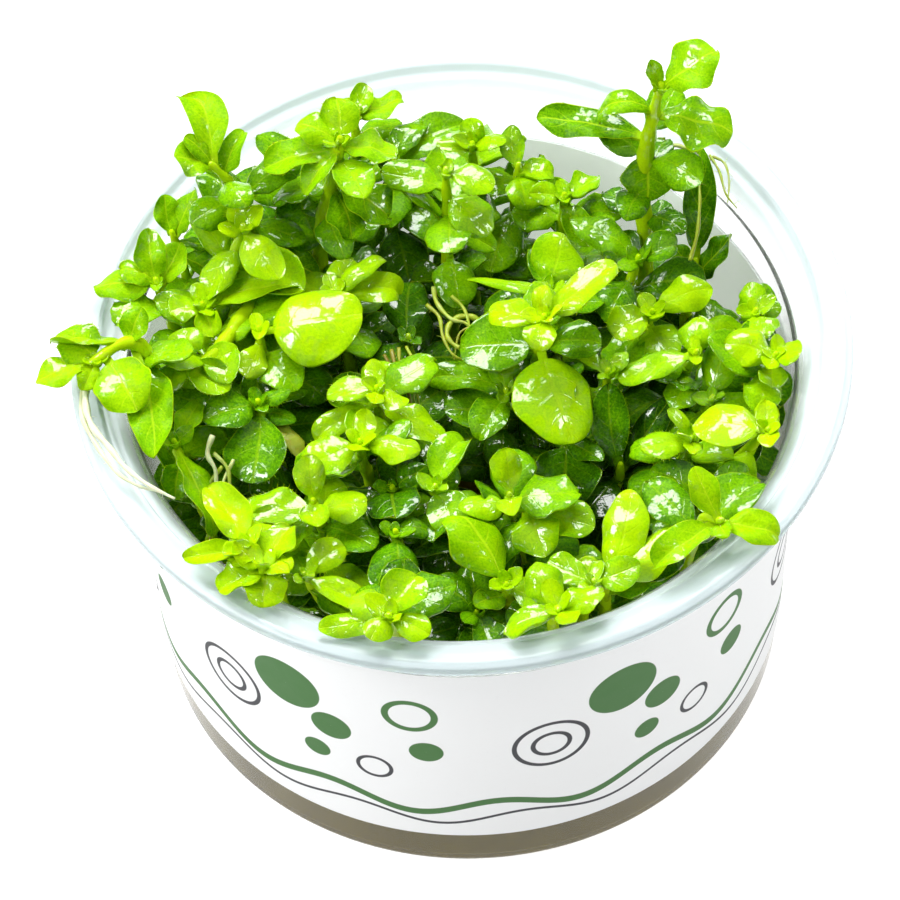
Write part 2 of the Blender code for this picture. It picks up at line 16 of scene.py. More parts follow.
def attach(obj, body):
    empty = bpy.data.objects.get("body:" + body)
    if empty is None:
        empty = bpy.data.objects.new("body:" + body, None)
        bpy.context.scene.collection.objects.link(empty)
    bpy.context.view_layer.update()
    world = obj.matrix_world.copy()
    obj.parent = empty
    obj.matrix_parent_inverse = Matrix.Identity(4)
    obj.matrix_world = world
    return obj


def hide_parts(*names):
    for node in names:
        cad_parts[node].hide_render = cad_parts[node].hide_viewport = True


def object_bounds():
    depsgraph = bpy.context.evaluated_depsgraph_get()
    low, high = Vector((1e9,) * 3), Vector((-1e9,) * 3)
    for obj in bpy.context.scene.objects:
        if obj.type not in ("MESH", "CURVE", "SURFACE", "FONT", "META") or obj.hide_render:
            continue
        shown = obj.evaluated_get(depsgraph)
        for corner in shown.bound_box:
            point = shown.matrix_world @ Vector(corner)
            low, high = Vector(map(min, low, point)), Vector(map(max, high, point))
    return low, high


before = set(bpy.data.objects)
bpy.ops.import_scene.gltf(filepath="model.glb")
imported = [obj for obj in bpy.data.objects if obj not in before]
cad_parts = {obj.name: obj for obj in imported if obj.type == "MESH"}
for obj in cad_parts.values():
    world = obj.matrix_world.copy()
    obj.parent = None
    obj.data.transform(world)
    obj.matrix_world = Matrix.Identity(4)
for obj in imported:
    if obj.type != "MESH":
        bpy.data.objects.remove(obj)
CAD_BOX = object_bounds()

MM = 0.001

# Cup
RIM_RADIUS = 52.5
CUP_HEIGHT = 62.0
BASE_RADIUS = 43.1
NECK_RADIUS = 45.6
NECK_HEIGHT = 57.0
SEAT_RADIUS = 46.9
FLANGE_RADIUS = 48.4
WALL = 0.9
FLOOR_CORNER = 1.0
SEAT_DROP = 1.9
SEAT_RISE = 0.2
LIP_DROP = 1.8
EDGE = 0.5
CORNER_CUT = 0.3
FOOT_RISE = 0.2
CUP_ROUNDING = 0.35
ROUNDING_STEPS = 3
ROUND_STEPS = 240
MERGE_REACH = 0.01

# Label and gel
LABEL_BOTTOM = 8.0
LABEL_TOP = 49.8
LABEL_LIFT = 0.05
LABEL_THICKNESS = 0.35
LABEL_ROWS = 9
LABEL_SHARP_ANGLE = 40.0
GEL_HEIGHT = 12.0
GEL_DIP = 0.3
GEL_EDGE_DIP = 0.2
MENISCUS_WIDTH = 2.0
GEL_REACH = 0.03
GEL_ROUNDING = 0.2
GAP = 0.3

# Plant: stems, and the low solids of leaves that say where a leaf fits
STEM_RADIUS = 0.9
KNEE_LEAN = 0.3
KNEE_RISE = 0.55
SHOULDER_PART = 0.36
TIP_PART = 0.75
TIP_TAPER = 0.92
TOP_LEAF_DROP = 0.9
LEAF_THICKNESS = 1.1
LEAF_CLEARANCE = 0.45
RIM_CLEARANCE = 0.3
USUAL_CURL = 25.0

# Finer leaves. A part is a share of the leaf's length.
STALK_PART = 0.14
STALK_ROWS = 3
STALK_HALF = 0.62
STALK_THICKNESS = 0.85
RIB_DEPTH = 0.3
RIB_HALF = 0.4
GROOVE_HALF = 0.45
BASE_TAPER = 0.66
TIP_HALF = 0.02
TIP_CURL_START = 0.6
HOOK_START = 0.66
EDGE_WAVES = 2.3
EDGE_CROWDING = 0.92
LUMP_WAVES = 3
LUMP_PITCHES = (3.0, 6.0)
CUPPED_SHARE = 0.2
LEAF_ROWS = 24
LEAF_COLUMNS = 14
MORE_GRID = (12, 8)
SMALL_GRID = (10, 6)
FRINGED_SHARE = 0.2
BUD_RISE_LIMIT = 50

# Small leaves added further down the stems, level by level
MORE_START = 3.5
MORE_STEP = 4.5
MORE_DROP_SWAY = 0.8
MORE_TURN_SWAY = 12
MORE_LEVELS = 10
MORE_SIZES = [(7, 10), (8, 11), (8, 11), (7, 10), (6, 9)]
MORE_WIDTHS = (0.6, 0.85)
MORE_RISES = (-5, 35)
MORE_CLEARANCE = 0.0
CROWDED_DROP = 3.0
CROWDED_TURN = 50

# Finer stems, strands and hairs
ROOT_DEPTH = 5.0
STEM_STEPS = 12
STEM_SIDES = 14
STEM_TIP_RADIUS = 0.3
FULL_STEM_DROP = 12.0
STEM_SLIMNESS = 0.9
JOINT_SWELL = 0.18
JOINT_REACH = 0.9
STEM_SWAY = 0.2
SWAY_DROP = 6.0
STRAND_THICKNESS = 1.25
STRAND_STEPS = 7
STRAND_SIDES = 7
SIDE_ROOT_RADII = (0.05, 0.04, 0.02)
HAIR_RADIUS = 0.045
HAIRY_LENGTH = 18.0
HAIRS_A_RING = 7

# Changes tried on a small leaf until it fits: raised by, turned by and size
MORE_TRIES = [(0, 0, 1.0), (20, 0, 1.0), (-20, 0, 1.0), (0, 25, 1.0), (0, -25, 1.0), (30, 20, 0.9),
              (-20, -20, 0.9), (40, 0, 0.85), (-35, 0, 0.8), (15, 45, 0.8), (15, -45, 0.8), (0, 0, 0.65)]

# The young leaves of a bud: heading, length and rise
BUD_LEAVES = [(90, 4.6, 30), (270, 4.2, 38), (0, 3.0, 52), (180, 2.8, 58)]

# Tones run from 0, dark, to 1, lime, and fall down a stem, a painted shade for leaves lower in the foliage.
# A small leaf's fall is the share of the shoot's tone that it starts from, and what each millimetre down
# takes. Lit shoots stand at the back or the left, and take less of this painted shade.
PAINTED_SHADE_FALL = 0.025
DEEP_SHADE_FALL = (0.7, 0.03)
LIT_SHADE_FALL = (0.9, 0.018)
LIT_BACK = 10
LIT_LEFT = -28
DARKEST_TONE = 0.14
# Painted light: shoots whose tip is left of this edge are made paler, as if lit more from the left.
LEFT_EDGE = -20
LEFT_PAINTED_LIGHT = 0.08
BUD_PALER = 0.12
BRIGHT_TONE = 0.82
STEM_TONE = 1.15
SLOT_TONES = [(0.35, "dark_leaf"), (0.65, "middle_leaf"), (BRIGHT_TONE, "bright_leaf"), (2.0, "lime_leaf")]

# Marks on a mesh: how far a stem counts as an upper face, and the number of the root material
STEM_PLACE = 0.9
ROOT_KIND = 1

# Shoots that grew above the water. Their leaves are thin, wavy and veined, and shine little.
THIN_LEAVED = {
    "shoot_back_right_tall", "shoot_back_right_twisted", "shoot_top_centre_tall", "shoot_upper_left_tall",
    "shoot_left_back_pair", "shoot_left_round", "shoot_far_left_overhanging", "shoot_left_low",
    "shoot_left_wall_big", "shoot_front_left_overhanging", "shoot_front_left_second",
    "shoot_right_front_wall", "shoot_right_overhanging", "shoot_front_curled", "shoot_back_left_high"}

# Traits given for leaves that stand out, by shoot and by the leaf's number in its list
HERO_TRAITS = {
    ("shoot_upper_left_tall", 0): {"hook": 95, "twist": 10, "bow": 8},
    ("shoot_back_right_tall", 0): {"dome": 10, "ripple": 0.08, "twist": 12, "blunt": 0.42},
    ("shoot_back_right_tall", 2): {"dome": 16, "ripple": 0.10, "twist": -8, "blunt": 0.42},
    ("shoot_back_right_tall", 4): {"dome": 6, "ripple": 0.03, "twist": 0, "blunt": 0.48, "tone": 0.1},
    ("shoot_left_big_round", 0): {"dome": 34, "pucker": 0.03, "blunt": 0.45, "lump": 0.05, "groove": 0.05},
    ("shoot_bright_cross", 0): {
        "dome": 26, "pucker": 0.03, "blunt": 0.40, "lump": 0.05, "groove": 0.05, "edge": 0.04},
    ("shoot_front_curled", 0): {"dome": 30, "dome_right": 85, "twist": 32, "tip_curl": 105, "tone": -0.1},
}

# Stems that are thicker than the usual, by shoot, and stems with short hairs
THICK_STEMS = {
    "shoot_back_right_tall": 1.3, "shoot_top_centre_tall": 1.25, "shoot_left_leaning": 1.25,
    "shoot_left_lime_drooping": 1.15, "shoot_far_left_overhanging": 1.2, "shoot_back_middle_light": 1.15}
HAIRY_STEMS = ["shoot_left_leaning", "shoot_middle_hairy", "shoot_far_left_overhanging", "shoot_left_low",
               "shoot_front_curled", "shoot_upper_left_tall", "shoot_top_centre_tall"]

# Dead leaves that turned brown or gold: how they grow, as the other leaves, and their tone
DEAD_LEAVES = {"shoot_back_left_round": [((6, 250, -15, 9, 5.5), -0.2), ((7, 300, -20, 7, 4), -0.1)],
               "shoot_left_dark_big": [((2, 312, -4, 9, 3.2), 0.25)]}

# Roots and strands of the shoots: the radius, the tone from tan to white, and points along each
STRANDS = {
    "shoot_far_left_overhanging": [
        (0.40, 1.0, [(-50.0, -5.5, 64.5), (-50.2, -9.0, 64.2), (-49.4, -12.5, 64), (-47.2, -16.0, 64),
                     (-45.0, -19.5, 64), (-42.0, -22.5, 64), (-38.6, -24.6, 63.6)]),
        (0.28, 0.9, [(-50.4, -4.5, 64), (-50.8, -10.0, 63.6), (-49.2, -14.5, 63.4), (-46.4, -19.5, 63.4),
                     (-43.6, -22.0, 63.4), (-40.5, -23.2, 63.2)])],
    "shoot_left_leaning": [
        (0.35, 1.0, [(-36.8, -1.0, 61), (-37.6, 3.0, 60), (-38.8, 6.0, 57), (-38.8, 7.5, 51),
                     (-39.0, 9.0, 42)]),
        (0.28, 0.8, [(-35.5, -0.5, 61), (-35.8, 3.0, 58), (-37.2, 5.0, 53), (-36.8, 7.0, 44),
                     (-37.5, 8.0, 36)]),
        (0.22, 0.9, [(-37.4, 1.0, 61), (-39.4, 4.0, 58), (-40.0, 6.0, 52), (-40.4, 7.0, 44)])],
    "shoot_left_dark_big": [
        (0.30, 0.8, [(-33.6, -12.0, 60), (-34.4, -14.0, 58.5), (-33.4, -16.0, 57), (-33.8, -19.0, 53)]),
        (0.22, 0.5, [(-33.6, -13.5, 58), (-31.8, -15.5, 57), (-31.4, -18.0, 54), (-29.0, -20.5, 50)]),
        (0.22, 0.4, [(-32.5, -15.0, 57), (-34.5, -17.0, 55), (-34.2, -20.0, 52), (-35.0, -22.0, 48)]),
        (0.20, 0.6, [(-31.0, -14.0, 57), (-32.6, -17.5, 55.5), (-31.0, -20.0, 52), (-32.0, -23.0, 48)])],
    "shoot_middle_dark_pair": [
        (0.24, 0.15, [(-9.4, 1.5, 59), (-8.8, -1.5, 58.6), (-7.4, -4.5, 57.5), (-6.6, -8.5, 55)]),
        (0.20, 0.3, [(-8.4, 1.8, 59), (-8.2, -1.0, 58.4), (-6.4, -4.0, 57.6), (-5.8, -7.5, 55)]),
        (0.18, 0.1, [(-10.4, 0.8, 59), (-9.2, -2.0, 58), (-8.8, -5.5, 56.5), (-7.6, -9.0, 54)]),
        (0.16, 0.4, [(-7.4, 2.0, 59), (-6.0, -1.5, 58), (-6.6, -5.0, 56), (-4.6, -8.0, 54)])],
    "shoot_back_middle_light": [
        (0.34, 0.35, [(3.4, 4.6, 58), (2.2, 6.4, 58.6), (0.2, 6.6, 59), (-1.4, 5.4, 59), (-1.8, 3.4, 59),
                      (-0.6, 1.8, 58.8), (1.4, 1.4, 58.4), (3.0, 2.6, 57.6)]),
        (0.26, 0.45, [(-3.4, 11.0, 60), (-3.0, 8.6, 59.6), (-1.2, 6.0, 59.4), (0.8, 5.4, 59),
                      (2.0, 4.0, 58)]),
        (0.22, 0.3, [(-4.4, 8.4, 59.6), (-2.8, 6.4, 59.4), (-2.4, 3.4, 59), (-1.2, 0.8, 58.4),
                     (0.8, 0.0, 57.6)]),
        (0.20, 0.4, [(-1.0, 9.4, 60), (0.6, 7.6, 59.4), (1.2, 4.6, 58.6), (0.2, 2.6, 58)]),
        (0.18, 0.2, [(4.0, 6.0, 58.4), (1.6, 4.8, 59), (-0.2, 3.6, 59), (-1.0, 0.2, 58)])],
    "shoot_back_right_tall": [
        (0.22, 0.35, [(31.4, 12.5, 61.5), (32.6, 16.5, 62), (33.2, 21.0, 62.5), (33.6, 25.5, 63),
                      (35.4, 28.6, 63.5)]),
        (0.16, 0.5, [(35.4, 28.6, 63.5), (37.0, 27.4, 63.2), (37.4, 24.5, 63), (37.0, 21.0, 62.8)]),
        (0.16, 0.4, [(35.0, 28.8, 63.5), (36.2, 26.0, 63.2), (36.8, 22.5, 63), (38.2, 20.0, 62.8)]),
        (0.28, 0.5, [(28.8, 30.2, 63.2), (30.6, 30.8, 63.4), (33.0, 29.6, 63.2)])],
}

# Colours, as linear red, green and blue
LEAF_COLOURS = [(0.0, (0.012, 0.060, 0.0)), (0.25, (0.070, 0.240, 0.0)), (0.5, (0.200, 0.480, 0.0)),
                (0.75, (0.345, 0.630, 0.0)), (1.0, (0.480, 0.740, 0.0))]
PALE_VEIN = (0.50, 0.72, 0.01)
UNDERSIDE = (0.26, 0.46, 0.0)
LABEL_WHITE = (0.89, 0.90, 0.90)
FLECK_GREY = (0.55, 0.55, 0.55)
PRINT_GREEN = (0.045, 0.16, 0.03)
PRINT_GREY = (0.035, 0.036, 0.042)
CLEAR_TINT = (0.96, 0.98, 0.97)
MILKY_TINT = (0.80, 0.90, 0.92)
GEL_COLOURS = [(0.3, (0.135, 0.096, 0.0)), (0.7, (0.180, 0.132, 0.002))]
ROOT_COLOURS = [(0.0, (0.20, 0.13, 0.01)), (0.4, (0.38, 0.50, 0.02)), (1.0, (0.80, 0.82, 0.58))]
FLOOR_COLOURS = [(0.3, (0.34, 0.34, 0.34)), (0.7, (0.36, 0.36, 0.36))]

# Leaf surface. A swing is how far a pattern moves the tone. Paleness is what thinness adds, and its start.
BLOTCH_SIZE = 3.5
BLOTCH_SWING = 0.40
GRAIN_SIZE = 0.32
GRAIN_SWING = 0.90
# Painted shade, partly the leaf's own darker margin: how much darker a leaf is just inside its edge.
MARGIN_DARK_AND_SHADE = 0.16
SIDE_VEINS = 5.0
VEIN_PALENESS = (0.35, 0.22)
# The pale rim is a painted glow of light through the leaf's edge: what thinness adds, and its start.
RIM_PALENESS_AND_GLOW = (0.45, 0.15)
PUDDLE_SIZE = 5.0
WET_FROM = 0.52
SKIN_LUMP_SIZE = 1.5
SKIN_DEPTH = 0.12

# Plastic and label: where the rim turns milky, and the painted glow on the label's inside that stands for the
# light coming in through it
MILKY_FROM = 56.0
MILKY_TO = 61.0
INNER_GLOW = 0.56

# Print on the label: its pattern repeats round the cup. Each ring is across, up, radius and half its line.
# Each wave is its height, how far it swings, half its line and its shift.
PRINT_REPEAT = 2 * math.pi * NECK_RADIUS / 6
PRINT_SOFTNESS = 0.06
WAVES_A_REPEAT = 2
GREY_WAVE = (12.5, 1.2, 0.3, 0.0)
GREEN_WAVE = (15.5, 1.6, 0.75, 0.9)
GREY_RINGS = [(10.0, 30.0, 5.2, 0.35), (10.0, 30.0, 2.6, 0.35), (33.0, 24.0, 2.4, 0.3)]
GREEN_RINGS = [(20.5, 38.0, 2.6, 2.6), (27.0, 31.5, 1.5, 1.5), (24.5, 24.5, 1.0, 1.0), (38.5, 39.0, 3.4, 0.5),
               (40.5, 30.0, 1.2, 1.2)]

# Camera: degrees, metres, and the lens in millimetres
CAMERA_RISE = 54.43
CAMERA_TILT = -2.533
CAMERA_DISTANCE = 0.9
CAMERA_AIM = (-0.002117, 0.0, 0.03742)
CAMERA_LENS = 262.84
CAMERA_SENSOR = 36.0

# Floor and lights, in metres and watts: each light's name, place, size and power
FLOOR_REACH = 3.0
FLOOR_GAP = 0.0001
LIGHT_AIM = (0.0, 0.0, 0.05)
LIGHTS = [
    ("back_softbox", (-0.10, 0.60, 0.95), (1.0, 0.62), 17.5),
    ("front_softbox", (-0.85, -0.25, 1.0), (0.5, 0.5), 10.5),
    ("right_softbox", (0.9, -0.1, 0.9), (0.3, 0.3), 3.0),
]
WORLD_STRENGTH = 0.17

Shoot = namedtuple("Shoot", "name tone path leaves")

# A stem's path is its root on the gel (x, y), any points on the way (x, y, z), and its tip.
# A leaf is: drop down the stem from the tip, heading (0 is +X, 90 is +Y), rise, length, width,
# and, where they aren't the usual ones, roll and curl. Tone runs from 0, dark, to 1, lime.
SHOOTS = [
    Shoot("shoot_back_right_tall", 0.7, [(22, 17), (25.3, 17.5, 48), (26, 24, 71), (28.3, 27, 82)], [
        (0, 20, 42, 9.4, 8), (0, 130, 78, 4.6, 2.2), (4.4, 348, 2, 11, 9.4),
        (4.4, 175, 75, 12, 3.5, 0, 185), (10.5, 270, -45, 7.5, 7), (8.5, 166, 16, 15.5, 5),
        (33, 330, 20, 7, 5), (33, 200, 10, 7, 5)]),
    Shoot("shoot_back_right_twisted", 0.35, [(29, 10), (32.6, 18.5, 54)], [
        (0, 72, 66, 17, 4.6, 30), (3, 20, 40, 10, 5), (1, 140, 40, 5, 3)]),
    Shoot("shoot_right_back_wall", 0.75, [(33, 4), (40, 5, 60)], [
        (0, 100, 20, 4.5, 4), (0, 280, 25, 5.5, 5), (1, 15, 25, 4, 3.5), (3, 195, 10, 7, 5)]),
    Shoot("shoot_right_wall", 0.9, [(34, -3), (42, -4, 62)], [
        (0, 165, 20, 6.8, 6.5), (0, 350, 20, 4.5, 5), (3, 255, 0, 7, 6), (2, 300, 25, 5, 4.5)]),
    Shoot("shoot_right_front_wall", 0.8, [(31, -14), (38.4, -18.4, 52)], [
        (0, 334, 86, 12, 7.2), (0, 175, 15, 6, 4), (5, 230, 10, 7, 5)]),
    Shoot("shoot_right_overhanging", 0.85, [(27, -24), (29.5, -30, 58), (33, -33.5, 66)], [
        (0, 120, 52, 8, 4.5), (0, 350, 0, 8.3, 6.5), (1, 217, -8, 12, 5), (1, 290, 35, 4, 3)]),
    Shoot("shoot_right_bright", 1.0, [(30, -9), (40.2, -17, 63)], [
        (0, 170, 10, 10, 7.5), (1, 355, 25, 4.5, 3.5), (6, 70, 15, 7, 5), (6, 255, 5, 8, 6)]),
    Shoot("shoot_right_broad", 0.6, [(28, -1), (33.4, -7, 57)], [
        (0, 82, 30, 10, 6), (0, 330, 10, 6.5, 5), (4, 235, 5, 9, 6)]),
    Shoot("shoot_right_boat", 0.8, [(24, 2), (31.5, -3, 62)], [
        (0, 192, -2, 11, 4.5), (1, 80, 20, 6, 6), (5, 280, 10, 8, 6)]),
    Shoot("shoot_right_crinkled", 0.85, [(20, 9), (26, 5.5, 60)], [
        (0, 20, 20, 9, 6), (0, 215, 20, 7, 5.5), (3, 120, 10, 7, 5.5), (2.5, 300, 5, 6.8, 5.5)]),
    Shoot("shoot_dark_upright", 0.2, [(19, -8), (20.7, -12.5, 50)], [
        (0, 100, 55, 12, 5.2), (2, 42, 50, 13, 4.2), (1, 100, 15, 5, 4), (4, 345, 30, 8, 5)]),
    Shoot("shoot_right_round", 0.85, [(26, -9), (30, -16.5, 61)], [
        (0, 193, 14, 7, 5), (0, 140, 60, 5.5, 2.5), (0, 20, 50, 5, 2.5), (5, 320, 5, 9, 6)]),
    Shoot("shoot_right_low", 0.45, [(27, -16), (32, -23.5, 57)], [
        (0, 148, 18, 9, 5), (0, 20, 20, 7, 5), (4, 240, 0, 9, 6)]),
    Shoot("shoot_lime_folded", 0.95, [(17, -27), (17.9, -36, 57)], [
        (0, 72, 32, 13, 6.5), (0, 28, 12, 12, 6), (3, 250, 10, 7, 5.5)]),
    Shoot("shoot_front_right_small", 0.75, [(13, -31), (16, -38, 60)], [
        (0, 150, 15, 6.8, 4.3), (0, 2, 5, 7, 5), (1, 240, 0, 4.5, 4.5), (5, 100, 20, 7, 5)]),
    Shoot("shoot_front_veined", 0.75, [(7, -20), (7.6, -25.5, 60)], [
        (0, 290, 0, 7.5, 7.5), (0, 342, 5, 9.5, 6.5), (4, 120, 15, 8, 6)]),
    Shoot("shoot_middle_upright", 0.9, [(6, -15), (5.4, -26.4, 64)], [
        (0, 95, 62, 6.5, 4.6), (0, 275, 15, 3.5, 3.2), (5, 195, 20, 7, 5), (5, 15, 20, 7, 6)]),
    Shoot("shoot_front_curled", 0.75, [(5, -28), (4.5, -36.3, 57.5)], [
        (0, 124, 26, 12.5, 9.8, 10, 5), (1, 355, 0, 7, 6), (4, 230, -5, 8, 6)]),
    Shoot("shoot_front_mixed", 0.65, [(-3, -18), (-4.3, -21, 59)], [
        (0, 62, 22, 9.5, 4.6), (0, 275, 2, 7, 5.8), (2, 325, 8, 8, 6), (3, 170, 10, 6, 5)]),
    Shoot("shoot_front_dark_round", 0.35, [(-8, -24), (-9.8, -28, 59)], [
        (0, 265, 0, 10, 8), (0, 20, 15, 5, 4), (4, 190, 10, 8, 6)]),
    Shoot("shoot_middle_hairy", 0.15, [(-8, -16), (-10, -19.5, 57)], [
        (0, 275, 6, 7.8, 8.4), (0, 30, 25, 5.5, 4.5), (4, 170, 10, 8, 6)]),
    Shoot("shoot_front_left_rosette", 0.85, [(-17, -19), (-20.4, -26, 64)], [
        (0, 95, 60, 6.5, 4.6), (0, 275, 15, 4, 4), (2.5, 10, 5, 6.8, 6), (2.5, 176, 18, 9.8, 6.5),
        (6, 80, 15, 8, 6), (5, 215, 5, 8.5, 6.5)]),
    Shoot("shoot_middle_bright_round", 0.9, [(-12, -11), (-14, -16, 63)], [
        (0, 350, 6, 8, 7), (0, 200, 0, 8.5, 6.5), (2, 75, 10, 6.5, 6.5)]),
    Shoot("shoot_middle_lime_pair", 0.9, [(-10, -3), (-11.5, -7.4, 63)], [
        (0, 178, 5, 7, 4.2), (0, 330, 0, 4.5, 4.5), (3, 325, -4, 10, 6), (3, 205, 0, 10.5, 4.5),
        (4, 95, 15, 6.5, 5.5)]),
    Shoot("shoot_middle_dark_pair", 0.15, [(-6, 6), (-7.1, 5.4, 57)], [
        (0, 230, -5, 7, 6), (0, 88, 8, 9.5, 7), (4, 170, 10, 8, 6), (4, 350, 10, 9, 6)]),
    Shoot("shoot_middle_arched", 0.85, [(-14, 8), (-17, 9, 63)], [
        (0, 8, 5, 9.5, 5.5), (0, 62, 15, 6, 4), (3, 130, 10, 7, 6), (0, 30, 55, 10, 3, 0, 80)]),
    Shoot("shoot_left_big_round", 0.95, [(-26.5, -1), (-27, 2.7, 64)], [
        (0, 5, 4, 14, 12), (2, 250, 5, 6, 4.5), (5, 160, 10, 7, 5)]),
    Shoot("shoot_middle_dark_glossy", 0.2, [(12, -7), (13.5, -9.5, 52.5)], [
        (0, 262, 2, 10.5, 9), (0, 330, 25, 7, 3.5), (4, 40, 20, 8, 6), (4, 190, 10, 8, 6)]),
    Shoot("shoot_middle_curved", 0.55, [(4, -2), (5.8, -4.6, 57.5)], [
        (0, 160, 12, 11.5, 5, 0, 40), (0, 92, 42, 7.5, 4.7), (1, 237, 5, 7.5, 5.3), (4, 20, 20, 8, 6)]),
    Shoot("shoot_bright_cross", 1.0, [(8.5, 2), (11.2, -1.2, 69)], [
        (7, 285, -5, 14.5, 11.6), (0, 88, 40, 4.6, 3), (0, 262, 5, 5, 4.8), (0.5, 157, 3, 8.2, 5.6),
        (0.5, 37, 20, 13, 5.5)]),
    Shoot("shoot_middle_right_thin", 0.7, [(17, 0), (19.5, -4, 60)], [
        (0, 132, 15, 9.5, 3.2), (0, 35, 40, 3.8, 2.8), (4, 60, 15, 9, 6), (4, 215, 5, 8, 6)]),
    Shoot("shoot_back_middle_light", 0.7, [(10, 10), (12, 9.5, 61)], [
        (0, 72, 35, 8, 7.5), (0, 172, 18, 11, 2.6), (4, 300, 0, 8, 6)]),
    Shoot("shoot_back_right_long", 0.45, [(19, 13), (24.5, 13, 62.4)], [
        (0, 138, 8, 11.5, 5), (0, 15, 25, 6, 4.5), (4, 240, 5, 8, 6)]),
    Shoot("shoot_back_right_small", 0.7, [(13, 22), (15, 24.5, 62)], [
        (0, 180, 25, 5, 4), (0, 35, 20, 6, 4.6), (1, 300, -15, 7, 4), (4, 105, 10, 7, 5)]),
    Shoot("shoot_back_upright", 0.7, [(7, 27), (9, 30, 62)], [
        (0, 100, 50, 6, 3.6), (0.5, 5, 0, 5.5, 4), (1, 280, -3, 5.5, 6), (2, 190, 5, 6, 4.5)]),
    Shoot("shoot_back_glossy", 0.8, [(2, 30), (2.8, 32.5, 64)], [
        (0, 90, 45, 4, 3.5), (0, 185, 20, 5, 3), (0, 350, 20, 5, 3.5), (3, 275, -25, 6, 5)]),
    Shoot("shoot_back_middle_glossy", 0.8, [(-1, 19), (-1.2, 20.5, 60), (-1, 22, 72)], [
        (0, 345, 0, 6.8, 6), (4, 320, -15, 8, 7), (10, 335, -5, 7.5, 3.5), (9, 178, 62, 9, 3.8)]),
    Shoot("shoot_back_fat", 0.55, [(-9, 28), (-8.1, 31.5, 62.5)], [
        (0, 32, 12, 12, 6), (1, 350, 0, 8, 6.5), (0, 50, 65, 8, 4, 0, 110)]),
    Shoot("shoot_back_left_high", 0.75, [(-12, 31), (-13.3, 36, 67.3)], [
        (0, 25, 5, 7.5, 4.8), (0, 60, 45, 5, 3.5), (3, 335, 0, 7, 4)]),
    Shoot("shoot_top_centre_tall", 0.75, [(-20, 11), (-19, 19.5, 52), (-15, 24.5, 76.5)], [
        (0, 92, 45, 6.3, 5.6), (0, 155, 25, 6.5, 4.5), (1, 355, 2, 8, 6.3), (1.5, 183, 0, 10.5, 6),
        (1, 226, -10, 8, 4), (6.5, 330, -8, 9.5, 7), (8, 290, -5, 8, 6)]),
    Shoot("shoot_back_left_round", 0.35, [(-20, 24), (-21.8, 29.5, 65)], [
        (0, 215, -2, 7, 7), (0, 130, 25, 7, 5), (2, 285, -8, 8, 7.5), (5, 320, 10, 7, 6)]),
    Shoot("shoot_upper_left_tall", 0.6,
          [(-24, 15), (-26.5, 19.5, 55), (-28.3, 20.8, 68), (-32.6, 21.5, 76)], [
              (0, 100, 55, 12.5, 5.6, 0, 70), (0, 185, 45, 6, 5.5), (0, 150, 60, 6, 3),
              (2.5, 60, 60, 7.5, 3.6, 0, 60), (20, 355, 10, 8.5, 4.5)]),
    Shoot("shoot_left_back_pair", 0.5, [(-33, 14), (-38.5, 19.5, 64)], [
        (0, 100, 55, 5.8, 3.6), (0.5, 55, 55, 7.5, 4), (1.5, 5, 0, 5.5, 2.5), (4, 330, 5, 6, 4)]),
    Shoot("shoot_left_lime_drooping", 0.9, [(-26, 11), (-31, 13, 54), (-28.5, 15.5, 70)], [
        (0, 305, -12, 8.5, 7), (0, 110, 40, 4, 3), (8.5, 128, 50, 12, 4.6), (12, 300, 8, 8, 4.5),
        (15, 215, 10, 8, 6)]),
    Shoot("shoot_left_low", 0.75, [(-31, 5), (-34.5, 7.5, 63.5)], [
        (0, 14, 15, 13.5, 5), (0, 195, 25, 5, 4), (0, 285, 10, 5, 4), (4, 100, 10, 5, 4)]),
    Shoot("shoot_left_round", 0.6, [(-34, 7), (-40.7, 10.8, 65)], [
        (0, 185, -12, 9, 7), (0, 165, 35, 5.5, 4), (0, 97, 50, 7.5, 4.2), (1, 62, 35, 7, 5)]),
    Shoot("shoot_far_left_overhanging", 0.75,
          [(-34, -3), (-41, -2, 59), (-44, -1.5, 67), (-49.5, -4.5, 67)], [
              (6.6, 279, -5, 16.5, 7.2, 0, 5), (0, 195, 5, 8.5, 5), (0.5, 140, 20, 6.5, 6.5),
              (5.5, 170, 18, 11, 5, 40), (5, 60, 55, 5.5, 4), (1.5, 297, 0, 9.5, 7.8, 0, 10),
              (0, 245, -5, 4.5, 3)]),
    Shoot("shoot_left_leaning", 0.8,
          [(-23, 12), (-27, 10.5, 52), (-28, 9, 60), (-34.5, -1.5, 62), (-38, -2, 63.5)], [
              (0, 80, 25, 5, 5), (0.5, 325, 0, 7, 6), (0, 240, 5, 5, 4), (3, 20, 20, 5, 4)]),
    Shoot("shoot_left_dark_round", 0.15, [(-21, 3), (-24.3, 4.5, 56)], [
        (0, 215, 5, 9.5, 9), (0, 45, 20, 7, 6), (4, 140, 10, 8, 6)]),
    Shoot("shoot_left_dark_big", 0.3, [(-24, -5), (-27.5, -6.5, 60)], [
        (0, 200, 15, 8, 6.5), (1, 262, -2, 11, 8.5), (0, 20, 20, 4.5, 3.4), (2, 340, 10, 5, 3.5)]),
    Shoot("shoot_left_wall_big", 0.55, [(-34, -11), (-38.8, -12.5, 60)], [
        (0, 290, -16, 14, 6.4, -30), (0, 60, 25, 7, 3.6), (4, 230, 0, 7, 4.5)]),
    Shoot("shoot_front_left_overhanging", 0.95,
          [(-26, -27), (-27.5, -31.5, 58), (-29.6, -34.5, 66.5)], [
              (0, 118, 25, 10, 5.6), (0, 182, 2, 8.5, 3.5), (1, 50, 18, 5.5, 5), (1, 262, 0, 4.5, 5)]),
    Shoot("shoot_front_left_second", 0.95,
          [(-22, -30), (-25.5, -34.5, 58), (-27, -37.6, 66)], [
